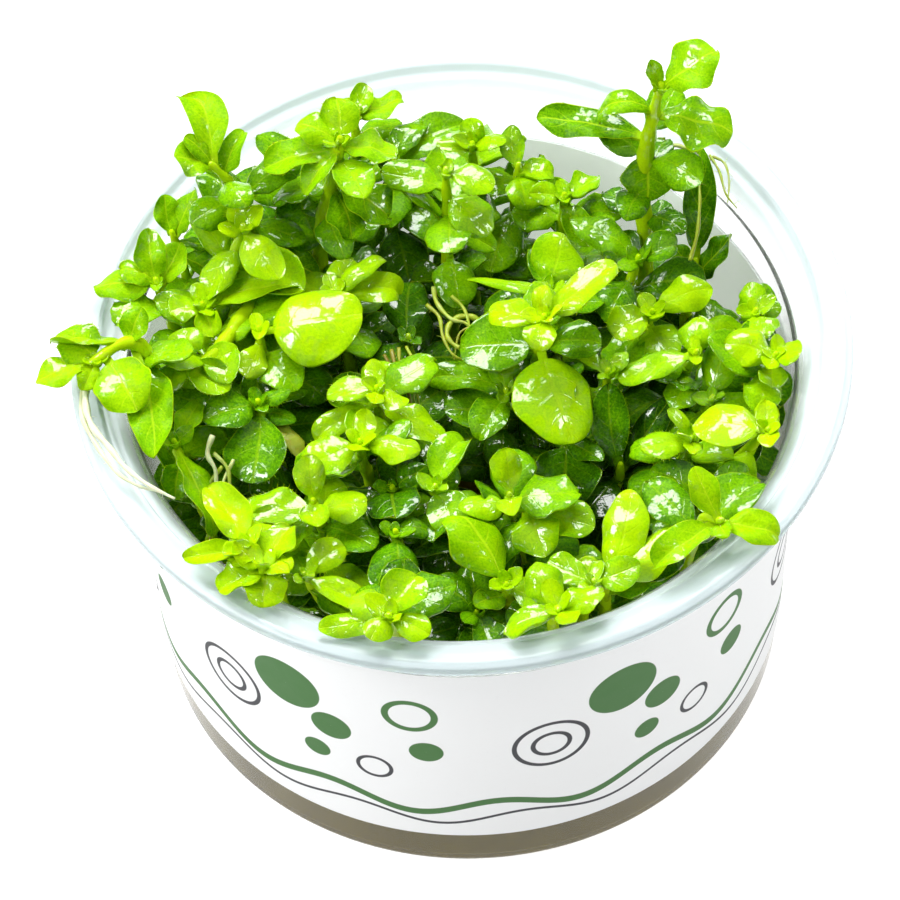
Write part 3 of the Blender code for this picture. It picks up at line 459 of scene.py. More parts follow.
              (0, 60, 20, 6.8, 5.5), (0, 350, 30, 4, 3.5), (1, 200, 5, 7, 6), (1, 262, 0, 5.5, 6)]),
    Shoot("shoot_front_left_pointed", 0.8, [(-16, -28), (-22, -34.6, 59.5)], [
        (0, 318, -2, 10.5, 5), (0, 40, 15, 7, 4.5), (4, 190, 5, 6, 5), (4, 0, 10, 8, 6)]),
    Shoot("shoot_front_rosette", 0.9, [(-9, -33), (-10.5, -41.5, 58), (-11, -46, 65.5)], [
        (0, 55, 22, 7, 6), (0, 235, 15, 4.5, 4.5), (1, 330, 10, 6, 4.5), (1, 150, 15, 6, 4.5),
        (2, 188, 0, 9.5, 4)]),
    Shoot("shoot_front_dark_low", 0.3, [(0, -31), (0.5, -38, 54)], [
        (0, 140, 20, 7.5, 6.5), (0, 10, 12, 8, 6), (0, 285, 10, 6, 4.5), (3, 95, 30, 8, 6)]),
    Shoot("shoot_front_lime_low", 0.85, [(9, -33), (10.5, -41, 57), (11, -45.5, 64.5)], [
        (0, 200, 8, 8, 5), (0, 20, 15, 6.5, 4.5), (5, 110, 20, 7, 6), (8, 70, 15, 6, 4)]),
]


def inner_radius(z):
    """The inside radius of the tapering wall at a height."""
    grow = (NECK_RADIUS - BASE_RADIUS) / NECK_HEIGHT
    return BASE_RADIUS - WALL + grow * z


def outer_radius(z):
    """The outside radius of the tapering wall at a height."""
    return inner_radius(z) + WALL


def stem_points(shoot):
    """The stem's path: from its root, up through its points on the way, to its tip."""
    root = Vector((*shoot.path[0], GEL_HEIGHT + GAP))
    tip = Vector(shoot.path[-1])
    middle = [Vector(point) for point in shoot.path[1:-1]]
    if not middle:
        knee = root.lerp(tip, KNEE_LEAN)
        knee.z = root.z + KNEE_RISE * (tip.z - root.z)
        middle = [knee]
    return [root, *middle, tip]


def point_below_tip(points, drop):
    """The point on the stem's middle line where a leaf grows, drop millimetres below the top leaves."""
    drop += TOP_LEAF_DROP
    for upper, lower in zip(points[::-1], points[-2::-1]):
        span = (lower - upper).length
        if drop <= span:
            return upper.lerp(lower, drop / span)
        drop -= span
    return points[0]


def leaf_axes(heading, rise, roll):
    """Unit vectors along a leaf, across it and out of its upper face."""
    turn = math.radians(heading)
    lift = math.radians(rise)
    along = Vector((math.cos(turn) * math.cos(lift), math.sin(turn) * math.cos(lift), math.sin(lift)))
    across = Vector((-math.sin(turn), math.cos(turn), 0.0))
    across = Matrix.Rotation(math.radians(roll), 3, along) @ across
    return along, across, along.cross(across)


def leaf_pad(base, leaf, extra=0.0):
    """A low solid of a leaf as (points, faces): six points round its edge and one above its middle.

    The blade bends away from its upper face by the leaf's curl. extra grows it on every side.
    """
    drop, heading, rise, length, width, *more = leaf
    roll = more[0] if more else 0.0
    curl = math.radians(more[1] if len(more) > 1 else USUAL_CURL)
    along, across, out = leaf_axes(heading, rise, roll)

    def place(part, side, lift=-extra):
        bend = curl * part
        chord = math.sin(0.5 * bend) / (0.5 * bend) if bend else 1.0
        spine = along * math.cos(0.5 * bend) - out * math.sin(0.5 * bend)
        normal = out * math.cos(bend) + along * math.sin(bend)
        return base + spine * (part * length * chord) + across * side + normal * lift

    half = 0.5 * width + extra
    points = [
        place(-extra / length, 0.0),
        place(SHOULDER_PART, -half),
        place(TIP_PART, -TIP_TAPER * half),
        place(1.0 + extra / length, 0.0),
        place(TIP_PART, TIP_TAPER * half),
        place(SHOULDER_PART, half),
        place(0.5, 0.0, LEAF_THICKNESS + extra),
    ]
    above = [(i, (i + 1) % 6, 6) for i in range(6)]
    below = [(0, 1, 5), (1, 2, 4), (1, 4, 5), (2, 3, 4)]
    return points, above + below


def stem_cage(points, radius):
    """A square tube round a stem as (points, faces), for testing what a leaf would hit."""
    cage = []
    faces = []
    for lower, upper in zip(points, points[1:]):
        start = len(cage)
        for centre in (lower, upper):
            for x, y in ((1, 1), (-1, 1), (-1, -1), (1, -1)):
                cage.append(centre + Vector((x * radius, y * radius, 0.0)))
        for i in range(4):
            j = (i + 1) % 4
            faces.append((start + i, start + j, start + 4 + j, start + 4 + i))
    return cage, faces


def clears_cup(point):
    """Whether a point is inside the wall, or well above the rim."""
    reach = math.hypot(point.x, point.y)
    if point.z > CUP_HEIGHT + RIM_CLEARANCE:
        return True
    room = inner_radius(min(point.z, NECK_HEIGHT)) - RIM_CLEARANCE
    return reach < room and point.z > GEL_HEIGHT + GAP


def leaf_tries(leaf):
    """The leaf as wanted, then raised, lowered, turned or shortened, for where it would hit another."""
    drop, heading, rise, length, width, *more = leaf
    changes = [
        (0, 0, 1.0), (12, 0, 1.0), (-12, 0, 1.0), (0, 14, 1.0), (0, -14, 1.0), (24, 0, 0.95),
        (-24, 0, 0.95), (14, 16, 0.95), (14, -16, 0.95), (-14, 16, 0.95), (-14, -16, 0.95),
        (36, 0, 0.9), (0, 30, 0.85), (0, -30, 0.85), (24, 28, 0.8), (24, -28, 0.8), (-24, 28, 0.8),
        (-24, -28, 0.8), (0, 0, 0.75), (40, 20, 0.7), (40, -20, 0.7), (10, 45, 0.7), (10, -45, 0.7),
    ]
    for lift, turn, size in changes:
        yield (drop, heading + turn, rise + lift, length * size, width * size, *more)


def settled_leaves():
    """Every shoot's leaves as (number, base, leaf), each changed as little as it needs to clear the rest."""
    stems = [stem_points(shoot) for shoot in SHOOTS]
    obstacles = []
    for owner, points in enumerate(stems):
        obstacles.append((owner, BVHTree.FromPolygons(*stem_cage(points, STEM_RADIUS))))
    settled = [[] for _ in SHOOTS]
    most = max(len(shoot.leaves) for shoot in SHOOTS)
    for number in range(most):
        for owner, shoot in enumerate(SHOOTS):
            if number >= len(shoot.leaves):
                continue
            for leaf in leaf_tries(shoot.leaves[number]):
                base = point_below_tip(stems[owner], leaf[0])
                if fits(base, leaf, owner, obstacles):
                    obstacles.append((owner, BVHTree.FromPolygons(*leaf_pad(base, leaf))))
                    settled[owner].append((number, base, leaf))
                    break
    return stems, settled, obstacles


def fits(base, leaf, owner, obstacles, clearance=LEAF_CLEARANCE):
    """Whether a leaf clears the cup and every other shoot."""
    wide, faces = leaf_pad(base, leaf, clearance)
    if not all(clears_cup(point) for point in wide):
        return False
    tree = BVHTree.FromPolygons(wide, faces)
    return not any(other != owner and tree.overlap(solid) for other, solid in obstacles)


def more_leaves(stems, settled, obstacles):
    """Leaf pairs between and below the placed ones, from under the top of each stem down to the gel."""
    found = [[] for _ in SHOOTS]
    chances = [random.Random("more " + shoot.name) for shoot in SHOOTS]
    headings = [chance.uniform(0, 180) for chance in chances]
    for level in range(MORE_LEVELS):
        for owner in range(len(SHOOTS)):
            chance = chances[owner]
            stem_length = sum((a - b).length for a, b in zip(stems[owner], stems[owner][1:]))
            drop = MORE_START + level * MORE_STEP + chance.uniform(-MORE_DROP_SWAY, MORE_DROP_SWAY)
            heading = headings[owner] + 90 * level + chance.uniform(-MORE_TURN_SWAY, MORE_TURN_SWAY)
            if drop > stem_length - MORE_STEP:
                continue
            for turn in (0, 180):
                size = chance.uniform(*MORE_SIZES[min(level, len(MORE_SIZES) - 1)])
                wide = size * chance.uniform(*MORE_WIDTHS)
                rise = chance.uniform(*MORE_RISES)
                heading_here = heading + turn
                if any(crowds(drop, heading_here, leaf) for _, _, leaf in settled[owner]):
                    continue
                base = point_below_tip(stems[owner], drop)
                for lift, swing, part in MORE_TRIES:
                    tried = (drop, heading_here + swing, rise + lift, size * part, wide * part)
                    if fits(base, tried, owner, obstacles, MORE_CLEARANCE):
                        obstacles.append((owner, BVHTree.FromPolygons(*leaf_pad(base, tried))))
                        found[owner].append((base, tried))
                        break
    return found


def crowds(drop, heading, leaf):
    """Whether a placed leaf of the same stem already fills the spot at a drop and a heading."""
    apart = abs((heading - leaf[1] + 180) % 360 - 180)
    return abs(drop - leaf[0]) < CROWDED_DROP and apart < CROWDED_TURN


class Tissue:
    """Points and faces of one grown piece. Each point has a tone, how thin its leaf is, and its place on it.

    The place is the side, from -1 to 1, the part of the length from 0 to 1, and 1 on the upper face.
    """

    def __init__(self):
        self.points = []
        self.faces = []
        self.tones = []
        self.thins = []
        self.places = []
        self.kinds = []

    def add(self, points, faces, tone, places, thin=0.0, kind=0):
        """Adds points and faces of one tone and one material, 0 for leaf and 1 for root."""
        start = len(self.points)
        self.points.extend(points)
        self.faces.extend([tuple(start + i for i in face) for face in faces])
        self.tones.extend([tone] * len(points))
        self.thins.extend([thin] * len(points))
        self.places.extend(places)
        self.kinds.extend([kind] * len(faces))

    def as_object(self, name, materials):
        """All of it as one object, with its tones and places as attributes for the material."""
        mesh = bpy.data.meshes.new(name)
        inside = np.clip(np.array(self.points) * MM, *np.array(CAD_BOX))
        mesh.from_pydata(inside, [], self.faces)
        mesh.shade_smooth()
        for attribute, values in (("tone", self.tones), ("thin", self.thins)):
            mesh.attributes.new(attribute, "FLOAT", "POINT").data.foreach_set("value", values)
        place = mesh.attributes.new("place", "FLOAT_VECTOR", "POINT")
        place.data.foreach_set("vector", np.array(self.places, dtype=np.float32).ravel())
        for material in materials[:max(self.kinds) + 1]:
            mesh.materials.append(material)
        mesh.polygons.foreach_set("material_index", self.kinds)
        return add_piece(name, mesh)


def add_piece(name, mesh):
    """A new object in the scene for a mesh."""
    piece = bpy.data.objects.new(name, mesh)
    bpy.context.scene.collection.objects.link(piece)
    return piece


def leaf_grid(rows, columns):
    """Faces of a closed leaf: an upper and an under skin that share the edge. Upper points come first."""
    upper = np.arange((rows + 1) * (columns + 1)).reshape(rows + 1, columns + 1)
    under = upper.copy()
    inside = (rows - 1) * (columns - 1)
    under[1:-1, 1:-1] = upper.size + np.arange(inside).reshape(rows - 1, columns - 1)
    faces = []
    for i in range(rows):
        for j in range(columns):
            faces.append((upper[i, j], upper[i + 1, j], upper[i + 1, j + 1], upper[i, j + 1]))
            faces.append((under[i, j], under[i, j + 1], under[i + 1, j + 1], under[i + 1, j]))
    return [tuple(int(k) for k in face) for face in faces]


def leaf_traits(chance):
    """How one leaf differs from the next. dome is how far its edges turn down, in degrees."""
    cupped = chance.random() < CUPPED_SHARE
    dome = chance.uniform(-38, -12) if cupped else chance.uniform(14, 52)
    return {
        "dome": dome,
        "dome_right": dome + chance.uniform(-18, 18),
        "ripple": chance.uniform(0.0, 0.10),
        "ripples": chance.uniform(1.0, 2.4),
        "phase": chance.uniform(0, 2 * math.pi),
        "pucker": chance.uniform(0.0, 0.10),
        "veins": chance.choice((3, 4, 4, 5)),
        "twist": chance.uniform(-28, 28),
        "tip_curl": chance.uniform(-15, 75) * chance.random(),
        "blunt": chance.uniform(0.42, 0.68),
        "widest": chance.uniform(0.85, 1.3),
        "bow": chance.uniform(-14, 14),
        "fold": max(0.0, chance.uniform(-18, 22)),
        "groove": chance.uniform(0.04, 0.26),
        "thick": chance.uniform(0.45, 0.75),
        "lump": chance.uniform(0.04, 0.14),
        "tone": 0.0,
        "hook": 0.0,
        "thin": 0.0,
        "left": chance.uniform(0.88, 1.08),
        "right": chance.uniform(0.88, 1.08),
        "edge": chance.uniform(0.01, 0.05),
    }


def share_past(part, start, end):
    """0 up to a start, then growing evenly to 1 at an end."""
    return np.clip((part - start) / (end - start), 0.0, 1.0)


def turned_towards(first, second, angle):
    """The first direction turned towards the second, by an angle for each part of the leaf."""
    return np.cos(angle)[:, None] * first + np.sin(angle)[:, None] * second


def thin_traits(chance):
    """Traits of a thin leaf that grew above the water."""
    traits = leaf_traits(chance)
    dome = chance.uniform(-30, 30)
    traits.update(
        dome=dome, dome_right=dome + chance.uniform(-25, 25), ripple=chance.uniform(0.05, 0.13), thin=1.0,
        pucker=chance.uniform(0.02, 0.06), thick=chance.uniform(0.26, 0.36), groove=chance.uniform(0.08, 0.2),
        blunt=chance.uniform(0.42, 0.56), edge=chance.uniform(0.03, 0.07))
    return traits


def blade_half_width(part, width, traits):
    """Half the leaf's width at each part of its length: a stalk, then a rounded blade."""
    blade = share_past(part, STALK_PART, 1.0)
    power = BASE_TAPER + (traits["blunt"] - BASE_TAPER) * blade
    round_blade = np.sin(math.pi * blade ** traits["widest"]).clip(0.0) ** power
    return 0.5 * width * round_blade + STALK_HALF * (1.0 - blade) ** 3 + TIP_HALF


def leaf_lines(base, leaf, traits, part):
    """The leaf's middle line, and unit vectors across it and out of its upper face, along its length."""
    _, heading, rise, length, _, *more = leaf
    roll = more[0] if more else 0.0
    curl = math.radians(more[1] if len(more) > 1 else USUAL_CURL)
    along, across, out = (np.array(axis) for axis in leaf_axes(heading, rise, roll))

    angle = curl * part + math.radians(traits["tip_curl"]) * share_past(part, TIP_CURL_START, 1.0) ** 2
    middle_angle = angle - 0.5 * np.diff(angle, prepend=0.0)
    forward = turned_towards(along, -out, middle_angle)
    bow = math.radians(traits["bow"]) * (2.0 * part - 1.0)
    hook = math.radians(traits["hook"]) * share_past(part, HOOK_START, 1.0) ** 1.5
    forward = np.cos(hook)[:, None] * forward + np.sin(bow + hook)[:, None] * across
    step = np.diff(part, prepend=0.0)[:, None] * length
    spine = np.array(base) + np.cumsum(forward * step, axis=0)

    normal = turned_towards(out, along, angle)
    twist = math.radians(traits["twist"]) * part
    return spine, turned_towards(across, normal, twist), turned_towards(normal, -across, twist)


def leaf_relief(leaf, traits, part, side, spread, chance):
    """How far ripples, groove, fold, puckers and lumps lift the upper skin."""
    length, width = leaf[3:5]
    wave = np.sin(2 * math.pi * traits["ripples"] * part + traits["phase"] + 2.2 * np.sign(side))
    height = traits["ripple"] * width * side ** 2 * wave
    height = height - traits["groove"] * np.exp(-(spread / GROOVE_HALF) ** 2)
    height = height + math.tan(math.radians(traits["fold"])) * np.abs(spread)
    vein = np.sin(math.pi * (traits["veins"] * part - 0.9 * np.abs(side))) ** 2
    height = height + traits["pucker"] * (vein - 0.5) * (1.0 - side ** 2)
    for _ in range(LUMP_WAVES):
        lean = chance.uniform(0, math.pi)
        pitch = chance.uniform(*LUMP_PITCHES)
        shift = chance.uniform(0, 2 * math.pi)
        run = spread * math.cos(lean) + part * length * math.sin(lean)
        height = height + traits["lump"] * np.sin(2 * math.pi * run / pitch + shift)
    edge_drop = 0.125 * width * abs(math.radians(traits["dome"]))
    height = height + math.copysign(edge_drop, traits["dome"])
    return height * share_past(part, STALK_PART, STALK_PART + 0.2)


def leaf_skin(base, leaf, traits, rows, columns, chance):
    """Points of a leaf's two skins, with each point's place on the leaf."""
    stalk = np.linspace(0.0, STALK_PART, STALK_ROWS + 1)[:-1]
    blade = (1.0 - np.cos(np.linspace(0.0, math.pi, rows - STALK_ROWS + 1))) * 0.5
    part = np.concatenate([stalk, STALK_PART + (1.0 - STALK_PART) * blade])
    side_turn = np.linspace(-0.5, 0.5, columns + 1) * math.pi * EDGE_CROWDING
    side = np.sin(side_turn) / math.sin(0.5 * math.pi * EDGE_CROWDING)
    spine, sideways, normal = leaf_lines(base, leaf, traits, part)
    half = blade_half_width(part, leaf[4], traits)[:, None]
    part = part[:, None]

    edge_wave = np.sin(2 * math.pi * EDGE_WAVES * part + traits["phase"] + np.sign(side))
    half = half * (1.0 + traits["edge"] * edge_wave) * np.where(side < 0.0, traits["left"], traits["right"])
    spread = half * side
    swell = np.sin(math.pi * part.clip(0.05, 1.0) ** 0.8) * 0.6 + 0.4
    dome = np.where(side < 0.0, math.radians(traits["dome"]), math.radians(traits["dome_right"]))
    turn = dome * swell * side
    reach = spread * np.sinc(turn / math.pi)
    height = -spread * (0.5 * turn) * np.sinc(turn / (2 * math.pi)) ** 2
    height = height + leaf_relief(leaf, traits, part, side, spread, chance)
    upper = spine[:, None, :] + reach[..., None] * sideways[:, None, :]
    upper = upper + height[..., None] * normal[:, None, :]

    fade = share_past(part, STALK_PART, STALK_PART + 0.25)
    thick = STALK_THICKNESS + (traits["thick"] - STALK_THICKNESS) * fade
    rib = RIB_DEPTH * np.exp(-(spread / RIB_HALF) ** 2) * (1.0 - 0.8 * part)
    depth = (thick + rib) * np.sqrt((1.0 - side ** 4).clip(0.0)) * np.sqrt((1.0 - part ** 6).clip(0.0))
    tilt = turn[..., None]
    outward = np.cos(tilt) * normal[:, None, :] + np.sin(tilt) * sideways[:, None, :]
    under = upper - outward * depth[..., None]

    side_all, part_all = np.broadcast_arrays(side, part)
    places = np.stack([side_all, part_all, np.ones_like(part_all)], axis=-1)
    under_places = places[1:-1, 1:-1].copy()
    under_places[..., 2] = 0.0
    places[0, :, 2] = places[-1, :, 2] = places[:, 0, 2] = places[:, -1, 2] = 0.5
    points = np.concatenate([upper.reshape(-1, 3), under[1:-1, 1:-1].reshape(-1, 3)])
    return points, np.concatenate([places.reshape(-1, 3), under_places.reshape(-1, 3)])


GRIDS = {size: leaf_grid(*size) for size in ((LEAF_ROWS, LEAF_COLUMNS), MORE_GRID, SMALL_GRID)}


def add_leaf(tissue, base, leaf, traits, tone, chance, rows=LEAF_ROWS, columns=LEAF_COLUMNS):
    """Adds one leaf, and returns its points and their places for hairs."""
    points, places = leaf_skin(base, leaf, traits, rows, columns, chance)
    tissue.add(points.tolist(), GRIDS[rows, columns], tone + traits["tone"], places.tolist(), traits["thin"])
    return points, places


def smooth_path(points, steps):
    """Points on a smooth curve through the given ones."""
    ends = [points[0] * 2 - points[1], *points, points[-1] * 2 - points[-2]]
    path = []
    for before, start, end, after in zip(ends, ends[1:], ends[2:], ends[3:]):
        speed = end - before
        bend = 2 * before - 5 * start + 4 * end - after
        turn = 3 * start - before - 3 * end + after
        for i in range(steps):
            t = i / steps
            path.append(0.5 * (2 * start + speed * t + bend * t ** 2 + turn * t ** 3))
    return path + [points[-1]]


def tube(path, radii, sides):
    """Points and faces of a closed tube along a path."""
    points = []
    faces = []
    facing = Vector((1.0, 0.3, 0.0))
    for i, centre in enumerate(path):
        ahead = (path[min(i + 1, len(path) - 1)] - path[max(i - 1, 0)]).normalized()
        across = (facing - ahead * facing.dot(ahead)).normalized()
        other = ahead.cross(across)
        facing = across
        for k in range(sides):
            turn = 2 * math.pi * k / sides
            points.append(centre + (across * math.cos(turn) + other * math.sin(turn)) * radii[i])
    for i in range(len(path) - 1):
        for k in range(sides):
            k2 = (k + 1) % sides
            faces.append((i * sides + k, i * sides + k2, (i + 1) * sides + k2, (i + 1) * sides + k))
    points += [path[0], path[-1] + (path[-1] - path[-2]).normalized() * radii[-1] * 0.5]
    first, last = len(points) - 2, len(points) - 1
    top = (len(path) - 1) * sides
    for k in range(sides):
        k2 = (k + 1) % sides
        faces.append((first, k2, k))
        faces.append((last, top + k, top + k2))
    return [tuple(point) for point in points], faces


def add_stem(tissue, points, drops, thickness, hairy, chance):
    """A stem from the gel to its tip, a little swollen where leaves grow, and hairy on some shoots."""
    rooted = [points[0] - Vector((0.0, 0.0, ROOT_DEPTH)), *points]
    path = smooth_path(rooted, STEM_STEPS)
    lengths = [0.0]
    for a, b in zip(path[::-1], path[-2::-1]):
        lengths.append(lengths[-1] + (a - b).length)
    below_tip = lengths[::-1]
    wobble = [chance.uniform(0, 2 * math.pi) for _ in range(2)]
    radii = []
    for i, drop in enumerate(below_tip):
        grown = min(drop / FULL_STEM_DROP, 1.0) ** 0.6
        radius = STEM_TIP_RADIUS + (STEM_RADIUS - STEM_TIP_RADIUS) * grown
        near = [math.exp(-((drop - node - TOP_LEAF_DROP) / JOINT_REACH) ** 2) for node in drops]
        radii.append((radius * STEM_SLIMNESS + JOINT_SWELL * max(near, default=0.0)) * thickness)
        sway = STEM_SWAY * min(drop / SWAY_DROP, 1.0)
        lean = Vector((math.sin(drop / 4.0 + wobble[0]), math.sin(drop / 5.0 + wobble[1]), 0))
        path[i] = path[i] + lean * sway
    ring, faces = tube(path, radii, STEM_SIDES)
    tissue.add(ring, faces, STEM_TONE, [(0.0, 0.0, STEM_PLACE)] * len(ring))
    if hairy:
        add_stem_hairs(tissue, path, radii, below_tip, chance)


def add_stem_hairs(tissue, path, radii, below_tip, chance):
    """Short fine hairs that stand out from the upper part of a stem."""
    for centre, radius, drop in zip(path, radii, below_tip):
        if drop > HAIRY_LENGTH:
            continue
        for _ in range(HAIRS_A_RING):
            turn = chance.uniform(0, 2 * math.pi)
            outward = Vector((math.cos(turn), math.sin(turn), chance.uniform(-0.3, 0.5))).normalized()
            root = centre + Vector((0, 0, chance.uniform(-0.6, 0.6))) + outward * radius * 0.7
            add_hair(tissue, root, root + outward * chance.uniform(0.5, 1.0), STEM_TONE)


def add_hair(tissue, root, tip, tone):
    """One hair, as a thin three-sided spike."""
    across = (tip - root).cross(Vector((0.1, 0.2, 1.0))).normalized() * HAIR_RADIUS
    up = across.cross(tip - root).normalized() * HAIR_RADIUS * 1.5
    hair = [tuple(root + across), tuple(root - across), tuple(root + up), tuple(tip)]
    tissue.add(hair, [(0, 1, 2), (0, 3, 1), (1, 3, 2), (2, 3, 0)], tone, [(0.0, 0.5, STEM_PLACE)] * 4)


def add_bud(tissue, tip, heading, tone, chance):
    """The youngest leaves, half open at the end of a shoot."""
    scale = chance.uniform(0.5, 0.8) + 0.2 * (tone > BRIGHT_TONE)
    for turn, size, rise in BUD_LEAVES:
        traits = leaf_traits(chance)
        traits.update(
            dome=chance.uniform(-40, 20), pucker=0.03, lump=0.02, groove=0.12, tip_curl=10.0, thick=0.32)
        size *= chance.uniform(0.75, 1.2) * scale
        heading_here = heading + turn + chance.uniform(-15, 15)
        leaf = (0, heading_here, rise, size, size * 0.7, 0, chance.uniform(-20, 25))
        add_leaf(tissue, tip, leaf, traits, tone + BUD_PALER, chance, *SMALL_GRID)


def add_fringe(tissue, points, places, tone, chance):
    """Short fine hairs along a leaf's edge."""
    sides = np.abs(places[:, 0])
    middle = Vector(points[sides < 0.2].mean(axis=0))
    on_edge = (np.abs(sides - 1.0) < 1e-6) & (places[:, 1] > 0.25) & (places[:, 1] < 0.97)
    for point in points[on_edge]:
        for _ in range(chance.choice((0, 1, 1, 2))):
            root = Vector(point)
            outward = (root - middle).normalized()
            droop = Vector((chance.uniform(-0.3, 0.3), chance.uniform(-0.3, 0.3), chance.uniform(-0.5, 0.1)))
            tip = root + (outward + droop) * chance.uniform(0.25, 0.8)
            root += Vector((chance.uniform(-0.3, 0.3), chance.uniform(-0.3, 0.3), 0)) * 0.6 - outward * 0.2
            add_hair(tissue, root, tip, tone)


def add_strand(tissue, radius, tone, points, chance):
    """A root or strand through the given points, thinner at its end, with fine side roots."""
    path = smooth_path([Vector(point) for point in points], STRAND_STEPS)
    count = len(path)
    radius *= STRAND_THICKNESS
    radii = []
    for i in range(count):
        taper = 1.0 - 0.65 * (i / count) ** 2
        radii.append(radius * taper * (1.0 + 0.15 * math.sin(i * 0.9)))
    ring, faces = tube(path, radii, STRAND_SIDES)
    tissue.add(ring, faces, tone, [(0.0, 0.5, STEM_PLACE)] * len(ring), kind=ROOT_KIND)
    for i in range(3, count - 2, 4):
        side = Vector((chance.uniform(-1, 1), chance.uniform(-1, 1), chance.uniform(-0.4, 0.6))).normalized()
        reach = chance.uniform(0.5, 1.4)
        hair = [path[i], path[i] + side * reach * 0.5, path[i] + side * reach + Vector((0, 0, -0.25 * reach))]
        ring, faces = tube(hair, SIDE_ROOT_RADII, 3)
        tissue.add(ring, faces, tone, [(0.0, 0.5, STEM_PLACE)] * len(ring), kind=ROOT_KIND)


def make_shoot(shoot, points, leaves, extra, materials):
    """One shoot: its stem, its leaves with the bud at the tip, and the small leaves further down."""
    chance = random.Random(shoot.name)
    tip = points[-1]
    traits_for = thin_traits if shoot.name in THIN_LEAVED else leaf_traits
    # Painted light: shoots at the left get a paler tone.
    painted_left_light = LEFT_PAINTED_LIGHT if tip.x < LEFT_EDGE else 0.0
    # Painted shade: lit shoots, at the back or the left, start brighter and darken less down the stem.
    part, fall = LIT_SHADE_FALL if tip.y > LIT_BACK or tip.x < LIT_LEFT else DEEP_SHADE_FALL
    tissue = Tissue()
    drops = [leaf[0] for _, _, leaf in leaves] + [leaf[0] for _, leaf in extra]
    add_stem(tissue, points, drops, THICK_STEMS.get(shoot.name, 1.0), shoot.name in HAIRY_STEMS, chance)
    for number, base, leaf in leaves:
        traits = traits_for(chance)
        # Painted shade: the leaf's tone falls with its drop down the stem. The left shoots' paler tone is
        # painted light.
        tone = shoot.tone - min(leaf[0], 12) * PAINTED_SHADE_FALL + painted_left_light + chance.uniform(-0.08, 0.08)
        hero = HERO_TRAITS.get((shoot.name, number), {})
        if "dome" in hero:
            traits.update(dome_right=hero["dome"], fold=0.0)
        traits.update(hero)
        skin, places = add_leaf(tissue, base, leaf, traits, tone, chance)
        if chance.random() < FRINGED_SHARE:
            add_fringe(tissue, skin, places, tone + 0.15, chance)
    for base, leaf in extra:
        traits = leaf_traits(chance)
        # Painted shade: the small leaf's tone falls with its drop, down to the darkest tone; painted light at
        # the left.
        tone = max(shoot.tone * part - leaf[0] * fall, DARKEST_TONE) + painted_left_light + chance.uniform(-0.03, 0.12)
        add_leaf(tissue, base, leaf, traits, tone, chance, *MORE_GRID)
    if shoot.leaves[0][2] < BUD_RISE_LIMIT:
        add_bud(tissue, point_below_tip(points, 0), shoot.leaves[0][1], shoot.tone, chance)
    for leaf, tone in DEAD_LEAVES.get(shoot.name, []):
        base = point_below_tip(points, leaf[0])
        skin, places = leaf_skin(base, leaf, leaf_traits(chance), *MORE_GRID, chance)
        tissue.add(skin.tolist(), GRIDS[MORE_GRID], tone, places.tolist(), kind=ROOT_KIND)
    for radius, tone, strand in STRANDS.get(shoot.name, []):
        add_strand(tissue, radius, tone, strand, chance)
    piece = tissue.as_object(shoot.name + "_grown", materials)
    finish_piece(piece, slot_for(shoot.tone), shoot.name)


def slot_for(tone):
    """The material slot's name for a shoot, by how bright its leaves are."""
    return next(word for limit, word in SLOT_TONES if tone < limit)


def finish_piece(piece, slot, *nodes):
    """Lets a piece ride on the cup's body, and puts it in the place of its solids. The slot is not used."""
    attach(piece, "root")
    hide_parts(*nodes)


def rounded(profile, radius):
    """The profile with its corners turned into short curves."""
    points = [Vector((*point, 0.0)) for point in profile]
    smooth = [points[0]]
    for before, corner, after in zip(points, points[1:], points[2:]):
        back = before - corner
        ahead = after - corner
        cut = min(radius, 0.45 * back.length, 0.45 * ahead.length)
        start = corner + back.normalized() * cut
        end = corner + ahead.normalized() * cut
        for i in range(ROUNDING_STEPS + 1):
            t = i / ROUNDING_STEPS
            smooth.append(start.lerp(corner, t).lerp(corner.lerp(end, t), t))
    return [(point.x, point.y) for point in smooth + [points[-1]]]


def turned(name, profile):
    """Turns a profile of (radius, height) points about Z, from one end on the axis to the other."""
    edges = [(i, i + 1) for i in range(len(profile) - 1)]
    mesh = bpy.data.meshes.new(name)
    mesh.from_pydata([(r * MM, 0.0, z * MM) for r, z in profile], edges, [])
    piece = add_piece(name, mesh)
    screw = piece.modifiers.new("turn", "SCREW")
    screw.steps = ROUND_STEPS
    screw.render_steps = ROUND_STEPS
    screw.use_merge_vertices = True
    screw.merge_threshold = MERGE_REACH * MM
    screw.use_smooth_shade = True
    return piece


